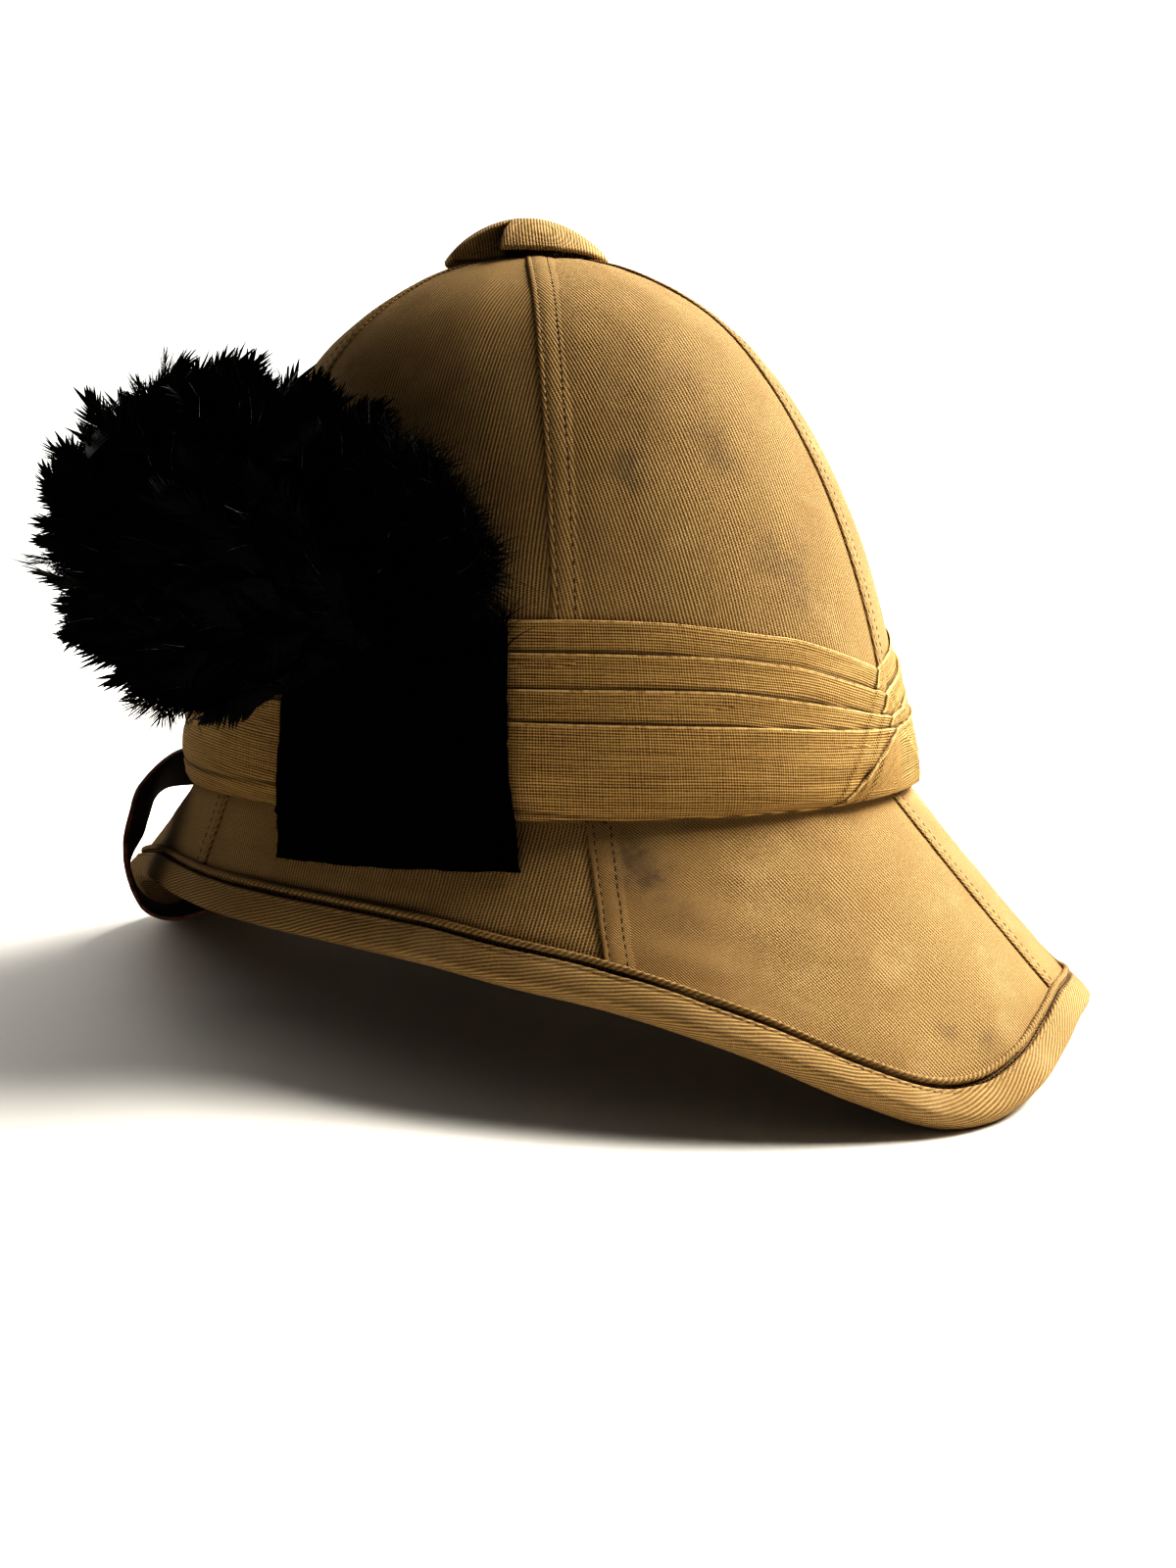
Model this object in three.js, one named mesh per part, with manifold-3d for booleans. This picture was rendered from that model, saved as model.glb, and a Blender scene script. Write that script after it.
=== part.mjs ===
// Pith helmet with a folded band, a felt side patch, a feather plume and a leather chin strap.
// Millimetres, +Z up, the front of the helmet faces -Y and the wearer's left is +X.
// Angles run round the helmet in degrees: 0 at the front, 90 at the wearer's left, 180 at the back.
import * as THREE from 'three';
import { mergeVertices } from 'three/addons/utils/BufferGeometryUtils.js';
import Module from 'manifold-3d';

const wasm = await Module();
wasm.setup();

// Driving dimensions of the crown
const HALF_LENGTH = 131;
const HALF_WIDTH = 113;
const CROWN_HEIGHT = 174.3;
const FOOT_SHARE = 0.96;
const CROWN_FULLNESS = 1.74;
const CROWN_ROUNDNESS = 2.27;
const CROWN_LEAN = 3.25;
const WALL = 4;
const VENT_RADIUS = 11;

// The bound edge of the brim: reach as a share of the half length and half width, drop below the band's foot
const BRIM_DROP = 75;
const BRIM_EDGE = [
  { angle: 0, reach: 1.29, drop: 0.87 },
  { angle: 7, reach: 1.29, drop: 0.84 },
  { angle: 13, reach: 1.275, drop: 0.745 },
  { angle: 19, reach: 1.25, drop: 0.63 },
  { angle: 26, reach: 1.21, drop: 0.54 },
  { angle: 35, reach: 1.13, drop: 0.485 },
  { angle: 46, reach: 1.085, drop: 0.46 },
  { angle: 62, reach: 1.075, drop: 0.45 },
  { angle: 86, reach: 1.095, drop: 0.45 },
  { angle: 101, reach: 1.145, drop: 0.465 },
  { angle: 112, reach: 1.2, drop: 0.51 },
  { angle: 123, reach: 1.265, drop: 0.57 },
  { angle: 134, reach: 1.36, drop: 0.69 },
  { angle: 143, reach: 1.435, drop: 0.85 },
  { angle: 150, reach: 1.477, drop: 0.96 },
  { angle: 156, reach: 1.48, drop: 0.985 },
  { angle: 163, reach: 1.463, drop: 0.945 },
  { angle: 171, reach: 1.43, drop: 0.895 },
  { angle: 180, reach: 1.413, drop: 0.865 },
];
// The tail's right corner has been pushed in with use: by how much of its reach, and where
const TUCK = 0.05;
const TUCK_ANGLE = 206;
const TUCK_SPREAD = 17;
// Where the brim's line bends between the crown and the edge, as shares of its reach and its drop
const FLARE_OUT = 0.5;
const FLARE_DOWN = 0.53;

// Cloth, seams, binding and piping
const CLEARANCE = 0.3;
const SEAM_WIDTH = 7;
const SEAM_THICK = 1;
const SEAM_RING = 19;
const SEAMS = [
  { name: 'seam_front', angle: 0, onBrim: 0 },
  { name: 'seam_front_left', angle: 60, onBrim: 60 },
  { name: 'seam_back_left', angle: 120, onBrim: 123.5 },
  { name: 'seam_back', angle: 180, onBrim: 180 },
  { name: 'seam_back_right', angle: 240, onBrim: 236.5 },
  { name: 'seam_front_right', angle: 300, onBrim: 300 },
];
const BINDING_HEIGHT = 9;
const BINDING_THICK = 1.6;
// The binding's cloth is thicker where it folds round the edge, and pressed flat where the helmet rests
const BINDING_FOLD = 2.2;
const BINDING_ROUNDED = 0.45;
const REST_FLAT = 1.1;
const PIPING_RADIUS = 1;
const PIPING_ABOVE_BINDING = 1.4;
const PIPING_SIDES = 5;

// The wound band: each row is a level from its foot (0) to its top (1) and how far it stands out
const BAND_HEIGHT = 55;
const BAND_PROUD = 6.6;
const BAND_CLEARANCE = 0.6;
const BAND_BACK_TOP = 0.66;
const BAND_FOLDS = [
  { level: 0, back: 0, proud: 0.62 },
  { level: 0.04, back: 0.05, proud: 0.84 },
  { level: 0.2, back: 0.26, proud: 1 },
  { level: 0.4, back: 0.5, proud: 0.86 },
  { level: 0.48, back: 0.6, proud: 0.62 },
  { level: 0.57, back: 0.68, proud: 0.74 },
  { level: 0.64, back: 0.74, proud: 0.56 },
  { level: 0.74, back: 0.8, proud: 0.66 },
  { level: 0.82, back: 0.86, proud: 0.46 },
  { level: 0.91, back: 0.93, proud: 0.54 },
  { level: 1, back: 1, proud: 0.42 },
];
const BAND_INNER_ROWS = 5;
// Where the folds start to close up towards the back, in degrees from the front
const BAND_NARROWS_FROM = 122;

// The felt patch
const PATCH_FROM = 80;
const PATCH_TO = 112.4;
const PATCH_THICK = 1.6;
const PATCH_TOP_BELOW_BAND = 1.5;
const PATCH_WIDENS = 0.07;
const PATCH_BELOW_BAND = 16;
const PATCH_COLUMNS = 7;
// On the band, by height; then down the brim, by drop. Each lift is a share of the band's greatest lift.
const PATCH_BAND_ROWS = [
  { height: 0.86, lift: 0.6, widens: 0 },
  { height: 0.4, lift: 1, widens: 0.3 },
  { height: 0.12, lift: 1, widens: 0.5 },
];
const PATCH_SLOPE_ROWS = [
  { drop: 0.12, lift: 0.74 },
  { drop: 0.4, lift: 0.3 },
  { drop: 0.75, lift: 0.06 },
  { drop: 1, lift: 0 },
];

// The button on top
const BUTTON_RADIUS = 27.5;
const BUTTON_RISE = 11;
const BUTTON_LIFT = 0.7;
const BUTTON_FORWARD = 2;
const POST_RADIUS = 7;
const POST_HEAD_RADIUS = 17;
const POST_HEAD_THICK = 2;
const POST_HEAD_DROP = 1.2;
// The dome's outline from its lower rim to its top, as shares of its radius and its rise
const BUTTON_OUTLINE = [
  { reach: 1, rise: 0.16, over: 'skirt' },
  { reach: 0.95, rise: 0.46, over: 'skirt' },
  { reach: 0.78, rise: 0.66, over: 'seat' },
  { reach: 0.45, rise: 0.92, over: 'seat' },
  { reach: 0, rise: 1, over: 'seat' },
];
const BUTTON_RIM = 0.97;
const BUTTON_SIDES = 22;
const POST_SIDES = 16;

// The chin strap, from the middle of the front round the rim to the stud inside. Each row has its place
// along the brim (or up the band, if less than nothing), the turn of its face from outward through
// the rim to inward, and what it stands off: shares of the band, of the binding and of its own bow.
const STRAP_WIDTH = 19;
const STRAP_THICK = 2;
const STRAP_BOW = 10;
const STRAP_ROUTE = [
  { angle: 0, along: 0.13, turn: 0, band: 1, rim: 0, bow: 0.05 },
  { angle: 12, along: 0.13, turn: 0, band: 1, rim: 0, bow: 0.05 },
  { angle: 22, along: 0.17, turn: 0, band: 1, rim: 0, bow: 0.22 },
  { angle: 29, along: 0.26, turn: 0, band: 0.9, rim: 0, bow: 0.4 },
  { angle: 34, along: 0.43, turn: 0, band: 0.5, rim: 0, bow: 0.75 },
  { angle: 38, along: 0.58, turn: 4, band: 0, rim: 0, bow: 1.1 },
  { angle: 41, along: 0.77, turn: 18, band: 0, rim: 0.4, bow: 1 },
  { angle: 44, along: 0.92, turn: 48, band: 0, rim: 1, bow: 0.55 },
  { angle: 47, along: 1, turn: 92, band: 0, rim: 1, bow: 0.22 },
  { angle: 51, along: 0.94, turn: 140, band: 0, rim: 1, bow: 0.25 },
  { angle: 56, along: 0.75, turn: 170, band: 0, rim: 0.5, bow: 0.6 },
  { angle: 62, along: 0.48, turn: 180, band: 0, rim: 0, bow: 0.6 },
  { angle: 70, along: 0.16, turn: 180, band: 0, rim: 0, bow: 0.35 },
  { angle: 79, along: -0.12, turn: 180, band: 0, rim: 0, bow: 0.1 },
  { angle: 92, along: -0.3, turn: 180, band: 0, rim: 0, bow: 0.06 },
];
const STRAP_STEPS = 54;
const STUD_RADIUS = 5;
const STUD_THICK = 2;
const STUD_SHANK_RADIUS = 1.5;
const STUD_SHANK_BITE = 2;
const STUD_FROM_END = 8;
const STUD_SIDES = 10;

// The plume: locks spread from a head at the top of the patch
const PLUME_LENGTH = 110;
const PLUME_HEAD_RADIUS = 12;
const PLUME_LEVEL = 0.95;
const LOCK_WIDTH = 30;
const LOCK_THICK = 17;
const LOCK_SIDES = 6;
// How far a lock bows out and up in its middle, and how wide it is along its length
const LOCK_BOW_OUT = 0.7;
const LOCK_BOW_UP = 0.06;
const LOCK_PROFILE = [
  { at: 0, share: 0.4 },
  { at: 0.3, share: 0.85 },
  { at: 0.65, share: 1 },
  { at: 0.88, share: 0.85 },
  { at: 1, share: 0.35 },
];
const LOCKS = [
  { forward: 0.56, up: -0.19, out: 0.22, width: 1 },
  { forward: 0.73, up: -0.02, out: 0.29, width: 0.95 },
  { forward: 0.77, up: 0.17, out: 0.3, width: 1 },
  { forward: 0.77, up: 0.34, out: 0.26, width: 1 },
  { forward: 0.7, up: 0.49, out: 0.17, width: 1 },
  { forward: 0.59, up: 0.58, out: 0.08, width: 1 },
  { forward: 0.45, up: 0.6, out: 0, width: 0.95 },
  { forward: 0.28, up: 0.55, out: -0.06, width: 1 },
  { forward: 0.07, up: 0.5, out: -0.1, width: 1.1 },
  { forward: -0.1, up: 0.42, out: -0.12, width: 1.1 },
  { forward: -0.23, up: 0.29, out: -0.12, width: 1.1 },
  { forward: -0.32, up: 0.14, out: -0.12, width: 1 },
  { forward: 0.34, up: 0.22, out: 0.34, width: 1.4 },
];

// Sampling
const COLUMNS = 60;
const CROWN_ROWS = 10;
const BRIM_ROWS = 5;

const radians = THREE.MathUtils.degToRad;

// Shapes

// Reads a column of a table at an angle, with a smooth curve through its rows.
function readTable(table, angle, column) {
  const folded = Math.abs(((angle + 180) % 360 + 360) % 360 - 180);
  let i = 0;
  while (i < table.length - 2 && table[i + 1].angle < folded) {
    i += 1;
  }
  const slope = (k) => {
    if (k <= 0 || k >= table.length - 1) {
      return 0;
    }
    const rise = table[k + 1][column] - table[k - 1][column];
    return rise / (table[k + 1].angle - table[k - 1].angle);
  };
  const span = table[i + 1].angle - table[i].angle;
  const x = (folded - table[i].angle) / span;
  const startWeight = 2 * x ** 3 - 3 * x ** 2 + 1;
  const startSlope = (x ** 3 - 2 * x ** 2 + x) * span;
  const endSlope = (x ** 3 - x ** 2) * span;
  return startWeight * table[i][column] + (1 - startWeight) * table[i + 1][column]
    + startSlope * slope(i) + endSlope * slope(i + 1);
}

function planPoint(angle, share, z, lean) {
  const t = radians(angle);
  return new THREE.Vector3(HALF_WIDTH * share * Math.sin(t), -HALF_LENGTH * share * Math.cos(t) - lean, z);
}

const ventShare = VENT_RADIUS / HALF_WIDTH;
const ventLevel = (1 - (ventShare / FOOT_SHARE) ** CROWN_ROUNDNESS) ** (1 / CROWN_FULLNESS);

// A point of the crown's outside at a level from its foot (0) to its tip (1).
function crownPoint(angle, level) {
  const share = FOOT_SHARE * (1 - level ** CROWN_FULLNESS) ** (1 / CROWN_ROUNDNESS);
  return planPoint(angle, share, CROWN_HEIGHT * level, CROWN_LEAN * level);
}

// A point of the brim's outside from the crown (0) to its bound edge (1) and past it.
function brimPoint(angle, along) {
  const fromTuck = ((angle % 360 + 360) % 360 - TUCK_ANGLE) / TUCK_SPREAD;
  const tuck = TUCK * Math.exp(-(fromTuck ** 2));
  const reach = readTable(BRIM_EDGE, angle, 'reach') - FOOT_SHARE - tuck;
  const drop = readTable(BRIM_EDGE, angle, 'drop') * BRIM_DROP;
  const k = Math.min(along, 1);
  const past = Math.max(along - 1, 0);
  const bend = 2 * k * (1 - k);
  const out = bend * FLARE_OUT + k * k + past * 2 * (1 - FLARE_OUT);
  const down = bend * FLARE_DOWN + k * k + past * 2 * (1 - FLARE_DOWN);
  return planPoint(angle, FOOT_SHARE + reach * out, -drop * down, 0);
}

// One line from the vent (-1) over the crown's foot (0) to the edge of the brim (1).
function skin(angle, line) {
  if (line < 0) {
    return crownPoint(angle, ventLevel * Math.sin(Math.min(-line, 1) * Math.PI / 2));
  }
  return brimPoint(angle, line);
}

const NORMAL_STEP = 0.01;

function downhill(angle, line) {
  const from = skin(angle, Math.max(line - NORMAL_STEP, -1));
  return skin(angle, line + NORMAL_STEP).sub(from).normalize();
}

function outward(angle, line) {
  const round = skin(angle + 0.5, line).sub(skin(angle - 0.5, line));
  return downhill(angle, line).cross(round).normalize();
}

function lifted(angle, line, lift) {
  return skin(angle, line).addScaledVector(outward(angle, line), lift);
}

// The line that lies at a height on the crown.
function lineAtHeight(z) {
  return -Math.asin(Math.min(z / CROWN_HEIGHT / ventLevel, 1)) * 2 / Math.PI;
}

// The line that lies at a distance inside the bound edge, measured along the brim.
function lineFromEdge(angle, distance) {
  const steps = 40;
  let last = skin(angle, 1);
  let walked = 0;
  for (let i = 1; i <= steps; i += 1) {
    const next = skin(angle, 1 - i / steps);
    const stride = next.distanceTo(last);
    if (walked + stride >= distance) {
      return 1 - (i - 1 + (distance - walked) / stride) / steps;
    }
    walked += stride;
    last = next;
  }
  return 0;
}

const edgeInset = CLEARANCE + BINDING_THICK;
const pipingInset = BINDING_HEIGHT + PIPING_ABOVE_BINDING + PIPING_RADIUS;

// The rows of the shell, from the vent to its edge.
function shellLines(angle) {
  const lines = [];
  for (let i = 0; i < CROWN_ROWS; i += 1) {
    lines.push(i / CROWN_ROWS - 1);
  }
  const piping = lineFromEdge(angle, pipingInset);
  for (let i = 0; i < BRIM_ROWS; i += 1) {
    lines.push(piping * i / BRIM_ROWS);
  }
  lines.push(piping);
  lines.push(lineFromEdge(angle, BINDING_HEIGHT));
  lines.push(lineFromEdge(angle, edgeInset));
  return lines;
}

// Joins sections of equal length into one closed body. An open run is capped at both ends.
function loft(sections, isRing) {
  const size = sections[0].length;
  const positions = [];
  const indices = [];
  for (const section of sections) {
    for (const point of section) {
      positions.push(point.x, point.y, point.z);
    }
  }
  const runs = isRing ? sections.length : sections.length - 1;
  for (let i = 0; i < runs; i += 1) {
    const here = i * size;
    const next = ((i + 1) % sections.length) * size;
    for (let j = 0; j < size; j += 1) {
      const k = (j + 1) % size;
      indices.push(here + j, here + k, next + k, here + j, next + k, next + j);
    }
  }
  if (!isRing) {
    const last = (sections.length - 1) * size;
    for (let j = 0; j < size / 2 - 1; j += 1) {
      const far = size - 1 - j;
      indices.push(j, far, far - 1, j, far - 1, j + 1);
      indices.push(last + j, last + far - 1, last + far, last + j, last + j + 1, last + far - 1);
    }
  }
  const geometry = new THREE.BufferGeometry();
  geometry.setAttribute('position', new THREE.Float32BufferAttribute(positions, 3));
  geometry.setIndex(indices);
  if (signedVolume(geometry) < 0) {
    geometry.setIndex(indices.reverse());
  }
  return geometry;
}

function signedVolume(geometry) {
  const position = geometry.attributes.position;
  const at = (i) => new THREE.Vector3().fromBufferAttribute(position, geometry.index.getX(i));
  let volume = 0;
  for (let i = 0; i < geometry.index.count; i += 3) {
    volume += at(i).dot(at(i + 1).cross(at(i + 2))) / 6;
  }
  return volume;
}

function ringAngles() {
  return Array.from({ length: COLUMNS }, (_, i) => i * 360 / COLUMNS);
}

function toSolid(geometry) {
  const plain = geometry.clone();
  plain.deleteAttribute('normal');
  plain.deleteAttribute('uv');
  const merged = mergeVertices(plain);
  const mesh = new wasm.Mesh({
    numProp: 3,
    vertProperties: new Float32Array(merged.attributes.position.array),
    triVerts: new Uint32Array(merged.index.array),
  });
  return new wasm.Manifold(mesh);
}

function toGeometry(solid) {
  const mesh = solid.getMesh();
  const geometry = new THREE.BufferGeometry();
  geometry.setAttribute('position', new THREE.BufferAttribute(new Float32Array(mesh.vertProperties), 3));
  geometry.setIndex(new THREE.BufferAttribute(new Uint32Array(mesh.triVerts), 1));
  return geometry;
}

// Materials

function cloth(color) {
  return new THREE.MeshStandardMaterial({ color, roughness: 0.9, metalness: 0 });
}

function metal(color) {
  return new THREE.MeshStandardMaterial({ color, roughness: 0.4, metalness: 1 });
}

const KHAKI = 0x9a7a42;
const OLIVE_GOLD = 0x94783a;
const BLACK = 0x0b0a0b;
const OXBLOOD = 0x4a241b;
const BRASS = 0xa98545;

const helmet = new THREE.Group();

function addPiece(name, geometry, material) {
  const mesh = new THREE.Mesh(geometry, material);
  mesh.name = name;
  helmet.add(mesh);
  return mesh;
}

// Shell
function makeShell() {
  const sections = ringAngles().map((angle) => {
    const lines = shellLines(angle);
    const outside = lines.map((line) => lifted(angle, line, 0));
    const inside = lines.map((line) => lifted(angle, line, -WALL));
    return [...outside, ...inside.reverse()];
  });
  return loft(sections, true);
}

// Seam strips, from under the button to the piping
function makeSeam(seam) {
  const lines = shellLines(seam.onBrim).filter((line) => line <= lineFromEdge(seam.onBrim, pipingInset));
  lines[0] = lineAtHeight(crownHeightAt(SEAM_RING));
  lines[lines.length - 1] = lineFromEdge(seam.onBrim, pipingInset + PIPING_RADIUS + 2 * CLEARANCE);
  const sections = lines.map((line) => {
    const angle = line < 0 ? seam.angle : seam.onBrim;
    const spread = skin(angle + 1, line).distanceTo(skin(angle - 1, line)) / 2;
    const half = SEAM_WIDTH / 2 / spread;
    return [
      lifted(angle - half, line, CLEARANCE),
      lifted(angle + half, line, CLEARANCE),
      lifted(angle + half, line, CLEARANCE + SEAM_THICK),
      lifted(angle - half, line, CLEARANCE + SEAM_THICK),
    ];
  });
  return loft(sections, false);
}

// The height of the crown's outside at a distance from its tip, on its long axis.
function crownHeightAt(radius) {
  const share = radius / HALF_LENGTH / FOOT_SHARE;
  return CROWN_HEIGHT * (1 - share ** CROWN_ROUNDNESS) ** (1 / CROWN_FULLNESS);
}

// The binding folds round the edge.
function makeBinding() {
  const inner = CLEARANCE;
  const outer = CLEARANCE + BINDING_THICK;
  const fold = CLEARANCE + BINDING_FOLD;
  const sections = ringAngles().map((angle) => {
    const edge = lineFromEdge(angle, edgeInset);
    const top = lineFromEdge(angle, BINDING_HEIGHT);
    const down = downhill(angle, edge);
    const atEdge = (lift, past) => lifted(angle, edge, lift).addScaledVector(down, past);
    return [
      lifted(angle, top, inner),
      atEdge(inner, inner),
      atEdge(-WALL - inner, inner),
      lifted(angle, top, -WALL - inner),
      lifted(angle, top, -WALL - outer),
      atEdge(-WALL - outer, inner),
      atEdge(-WALL - outer * BINDING_ROUNDED, fold),
      atEdge(outer * BINDING_ROUNDED, fold),
      atEdge(outer, inner),
      lifted(angle, top, outer),
    ];
  });
  return loft(sections, true);
}

function makePiping() {
  const sections = ringAngles().map((angle) => {
    const line = lineFromEdge(angle, pipingInset);
    const normal = outward(angle, line);
    const down = downhill(angle, line);
    const centre = skin(angle, line).addScaledVector(normal, CLEARANCE + PIPING_RADIUS);
    return Array.from({ length: PIPING_SIDES }, (_, i) => {
      const a = (i + 0.5) * 2 * Math.PI / PIPING_SIDES;
      return centre.clone()
        .addScaledVector(normal, Math.cos(a) * PIPING_RADIUS)
        .addScaledVector(down, Math.sin(a) * PIPING_RADIUS);
    });
  });
  return loft(sections, true);
}

// Band
const bandInnerLift = CLEARANCE + SEAM_THICK + BAND_CLEARANCE;

// How far the band has closed up towards the back at an angle, from 0 to 1.
function bandNarrowing(angle) {
  const folded = Math.abs(((angle + 180) % 360 + 360) % 360 - 180);
  const x = THREE.MathUtils.clamp((folded - BAND_NARROWS_FROM) / (180 - BAND_NARROWS_FROM), 0, 1);
  return x * x;
}

function bandTop(angle) {
  return BAND_HEIGHT * THREE.MathUtils.lerp(1, BAND_BACK_TOP, bandNarrowing(angle));
}

function bandFoldPoint(angle, fold, extra) {
  const level = THREE.MathUtils.lerp(fold.level, fold.back, bandNarrowing(angle));
  return lifted(angle, lineAtHeight(level * bandTop(angle)), fold.proud * BAND_PROUD + extra);
}

function makeBand() {
  const sections = ringAngles().map((angle) => {
    const outside = BAND_FOLDS.map((fold) => bandFoldPoint(angle, fold, 0));
    const inside = [];
    for (let i = BAND_INNER_ROWS; i >= 0; i -= 1) {
      inside.push(lifted(angle, lineAtHeight(bandTop(angle) * i / BAND_INNER_ROWS), bandInnerLift));
    }
    outside[0].z = inside[inside.length - 1].z;
    return [...outside, ...inside];
  });
  return loft(sections, true);
}

// Patch, laid over the band and down on the brim
const patchTopProud = BAND_FOLDS[BAND_FOLDS.length - 2].proud * BAND_PROUD;

function makePatch() {
  const middle = (PATCH_FROM + PATCH_TO) / 2;
  const greatestLift = Math.max(...BAND_FOLDS.map((fold) => fold.proud)) * BAND_PROUD;
  const top = BAND_HEIGHT - PATCH_TOP_BELOW_BAND;
  const sheet = (angle, extra) => {
    const rows = [{ line: lineAtHeight(top), lift: patchTopProud, widens: 0 }];
    for (const row of PATCH_BAND_ROWS) {
      rows.push({ line: lineAtHeight(top * row.height), lift: row.lift * greatestLift, widens: row.widens });
    }
    const onBand = rows[rows.length - 1].widens;
    const brimLength = brimPoint(angle, 0).distanceTo(brimPoint(angle, 1));
    for (const row of PATCH_SLOPE_ROWS) {
      const line = row.drop * PATCH_BELOW_BAND / brimLength;
      rows.push({ line, lift: row.lift * greatestLift, widens: onBand + row.drop * (1 - onBand) });
    }
    return rows.map((row) => {
      const spread = middle + (angle - middle) * (1 + PATCH_WIDENS * row.widens);
      return lifted(spread, row.line, row.lift + extra);
    });
  };
  const sections = Array.from({ length: PATCH_COLUMNS }, (_, i) => {
    const angle = THREE.MathUtils.lerp(PATCH_FROM, PATCH_TO, i / (PATCH_COLUMNS - 1));
    const inside = sheet(angle, CLEARANCE * 2);
    const outside = sheet(angle, CLEARANCE * 2 + PATCH_THICK);
    return [...outside, ...inside.reverse()];
  });
  return loft(sections, false);
}

// Button and its post
const crownTip = new THREE.Vector3(0, -CROWN_LEAN * ventLevel, CROWN_HEIGHT * ventLevel);

function turned(profile, sides) {
  const points = profile.map(([radius, height]) => new THREE.Vector2(radius, height));
  const geometry = new THREE.LatheGeometry(points, sides);
  geometry.rotateX(Math.PI / 2);
  return geometry;
}

const buttonSeat = crownHeightAt(SEAM_RING) + CLEARANCE + SEAM_THICK + BUTTON_LIFT;

function makeButton() {
  const skirt = crownHeightAt(BUTTON_RADIUS - BUTTON_FORWARD) + CLEARANCE + SEAM_THICK + BUTTON_LIFT;
  const base = { skirt, seat: buttonSeat };
  const profile = [
    [0, buttonSeat],
    [SEAM_RING, buttonSeat],
    [BUTTON_RADIUS * BUTTON_RIM, skirt],
    ...BUTTON_OUTLINE.map((row) => [BUTTON_RADIUS * row.reach, base[row.over] + BUTTON_RISE * row.rise]),
  ];
  return turned(profile, BUTTON_SIDES).translate(0, crownTip.y - BUTTON_FORWARD, 0);
}

// The post hangs from the button through the vent, with a wide head under the crown.
function makePost() {
  const headTop = crownHeightAt(POST_HEAD_RADIUS) - WALL - POST_HEAD_DROP;
  const profile = [
    [0, headTop - POST_HEAD_THICK],
    [POST_HEAD_RADIUS, headTop - POST_HEAD_THICK],
    [POST_HEAD_RADIUS, headTop],
    [POST_RADIUS, headTop],
    [POST_RADIUS, buttonSeat - CLEARANCE],
    [0, buttonSeat - CLEARANCE],
  ];
  return turned(profile, POST_SIDES).translate(0, crownTip.y - BUTTON_FORWARD, 0);
}

// Strap and its studs
function strapSpine(side) {
  return STRAP_ROUTE.map((row) => {
    const angle = row.angle * side;
    const line = row.along < 0 ? lineAtHeight(-row.along * BAND_HEIGHT) : row.along;
    const normal = outward(angle, line);
    const face = normal.clone().multiplyScalar(Math.cos(radians(row.turn)));
    face.addScaledVector(downhill(angle, line), Math.sin(radians(row.turn)));
    const lift = WALL / 2 + CLEARANCE + STRAP_THICK / 2
      + row.band * BAND_PROUD + row.rim * edgeInset + row.bow * STRAP_BOW;
    const point = skin(angle, line).addScaledVector(normal, -WALL / 2).addScaledVector(face, lift);
    return { point, face };
  });
}

const strapRoute = [...strapSpine(-1).slice(1).reverse(), ...strapSpine(1)];
const strapPath = new THREE.CatmullRomCurve3(strapRoute.map((row) => row.point), false, 'centripetal');

// The strap's middle, its direction and the way its face looks, at a share of its route.
function strapFrame(share) {
  const place = share * (strapRoute.length - 1);
  const k = Math.min(Math.floor(place), strapRoute.length - 2);
  const along = strapPath.getTangent(share);
  const face = strapRoute[k].face.clone().lerp(strapRoute[k + 1].face, place - k);
  face.addScaledVector(along, -face.dot(along)).normalize();
  return { point: strapPath.getPoint(share), along, face };
}

function makeStrap() {
  const sections = [];
  for (let i = 0; i <= STRAP_STEPS; i += 1) {
    const { point, along, face } = strapFrame(i / STRAP_STEPS);
    const across = along.clone().cross(face).normalize();
    const corner = (a, b) => point.clone()
      .addScaledVector(across, a * STRAP_WIDTH / 2)
      .addScaledVector(face, b * STRAP_THICK / 2);
    sections.push([corner(-1, 1), corner(1, 1), corner(1, -1), corner(-1, -1)]);
  }
  return loft(sections, false);
}

// A round pin turned about the strap's face near one of its ends.
function pinAtStrapEnd(side, profile) {
  const step = STUD_FROM_END / strapPath.getPoint(0).distanceTo(strapPath.getPoint(1 / strapRoute.length));
  const share = side > 0 ? 1 - step / strapRoute.length : step / strapRoute.length;
  const { point, face } = strapFrame(share);
  const points = profile.map(([radius, height]) => new THREE.Vector2(radius, height));
  const pin = new THREE.LatheGeometry(points, STUD_SIDES);
  pin.applyQuaternion(new THREE.Quaternion().setFromUnitVectors(new THREE.Vector3(0, 1, 0), face));
  return pin.translate(point.x, point.y, point.z);
}

const studSeat = STRAP_THICK / 2 + CLEARANCE;
const studTip = -studSeat - STRAP_ROUTE[STRAP_ROUTE.length - 1].bow * STRAP_BOW - STUD_SHANK_BITE;

function makeStud(side) {
  return pinAtStrapEnd(side, [
    [0, studTip],
    [STUD_SHANK_RADIUS, studTip],
    [STUD_SHANK_RADIUS, studSeat],
    [STUD_RADIUS, studSeat],
    [STUD_RADIUS, studSeat + STUD_THICK],
    [0, studSeat + STUD_THICK],
  ]);
}

function drillForStuds(geometry) {
  const radius = STUD_SHANK_RADIUS + CLEARANCE;
  const deep = studTip - CLEARANCE;
  let solid = toSolid(geometry);
  for (const side of [1, -1]) {
    const bore = pinAtStrapEnd(side, [[0, deep], [radius, deep], [radius, studSeat], [0, studSeat]]);
    solid = solid.subtract(toSolid(bore));
  }
  return toGeometry(solid);
}

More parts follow.
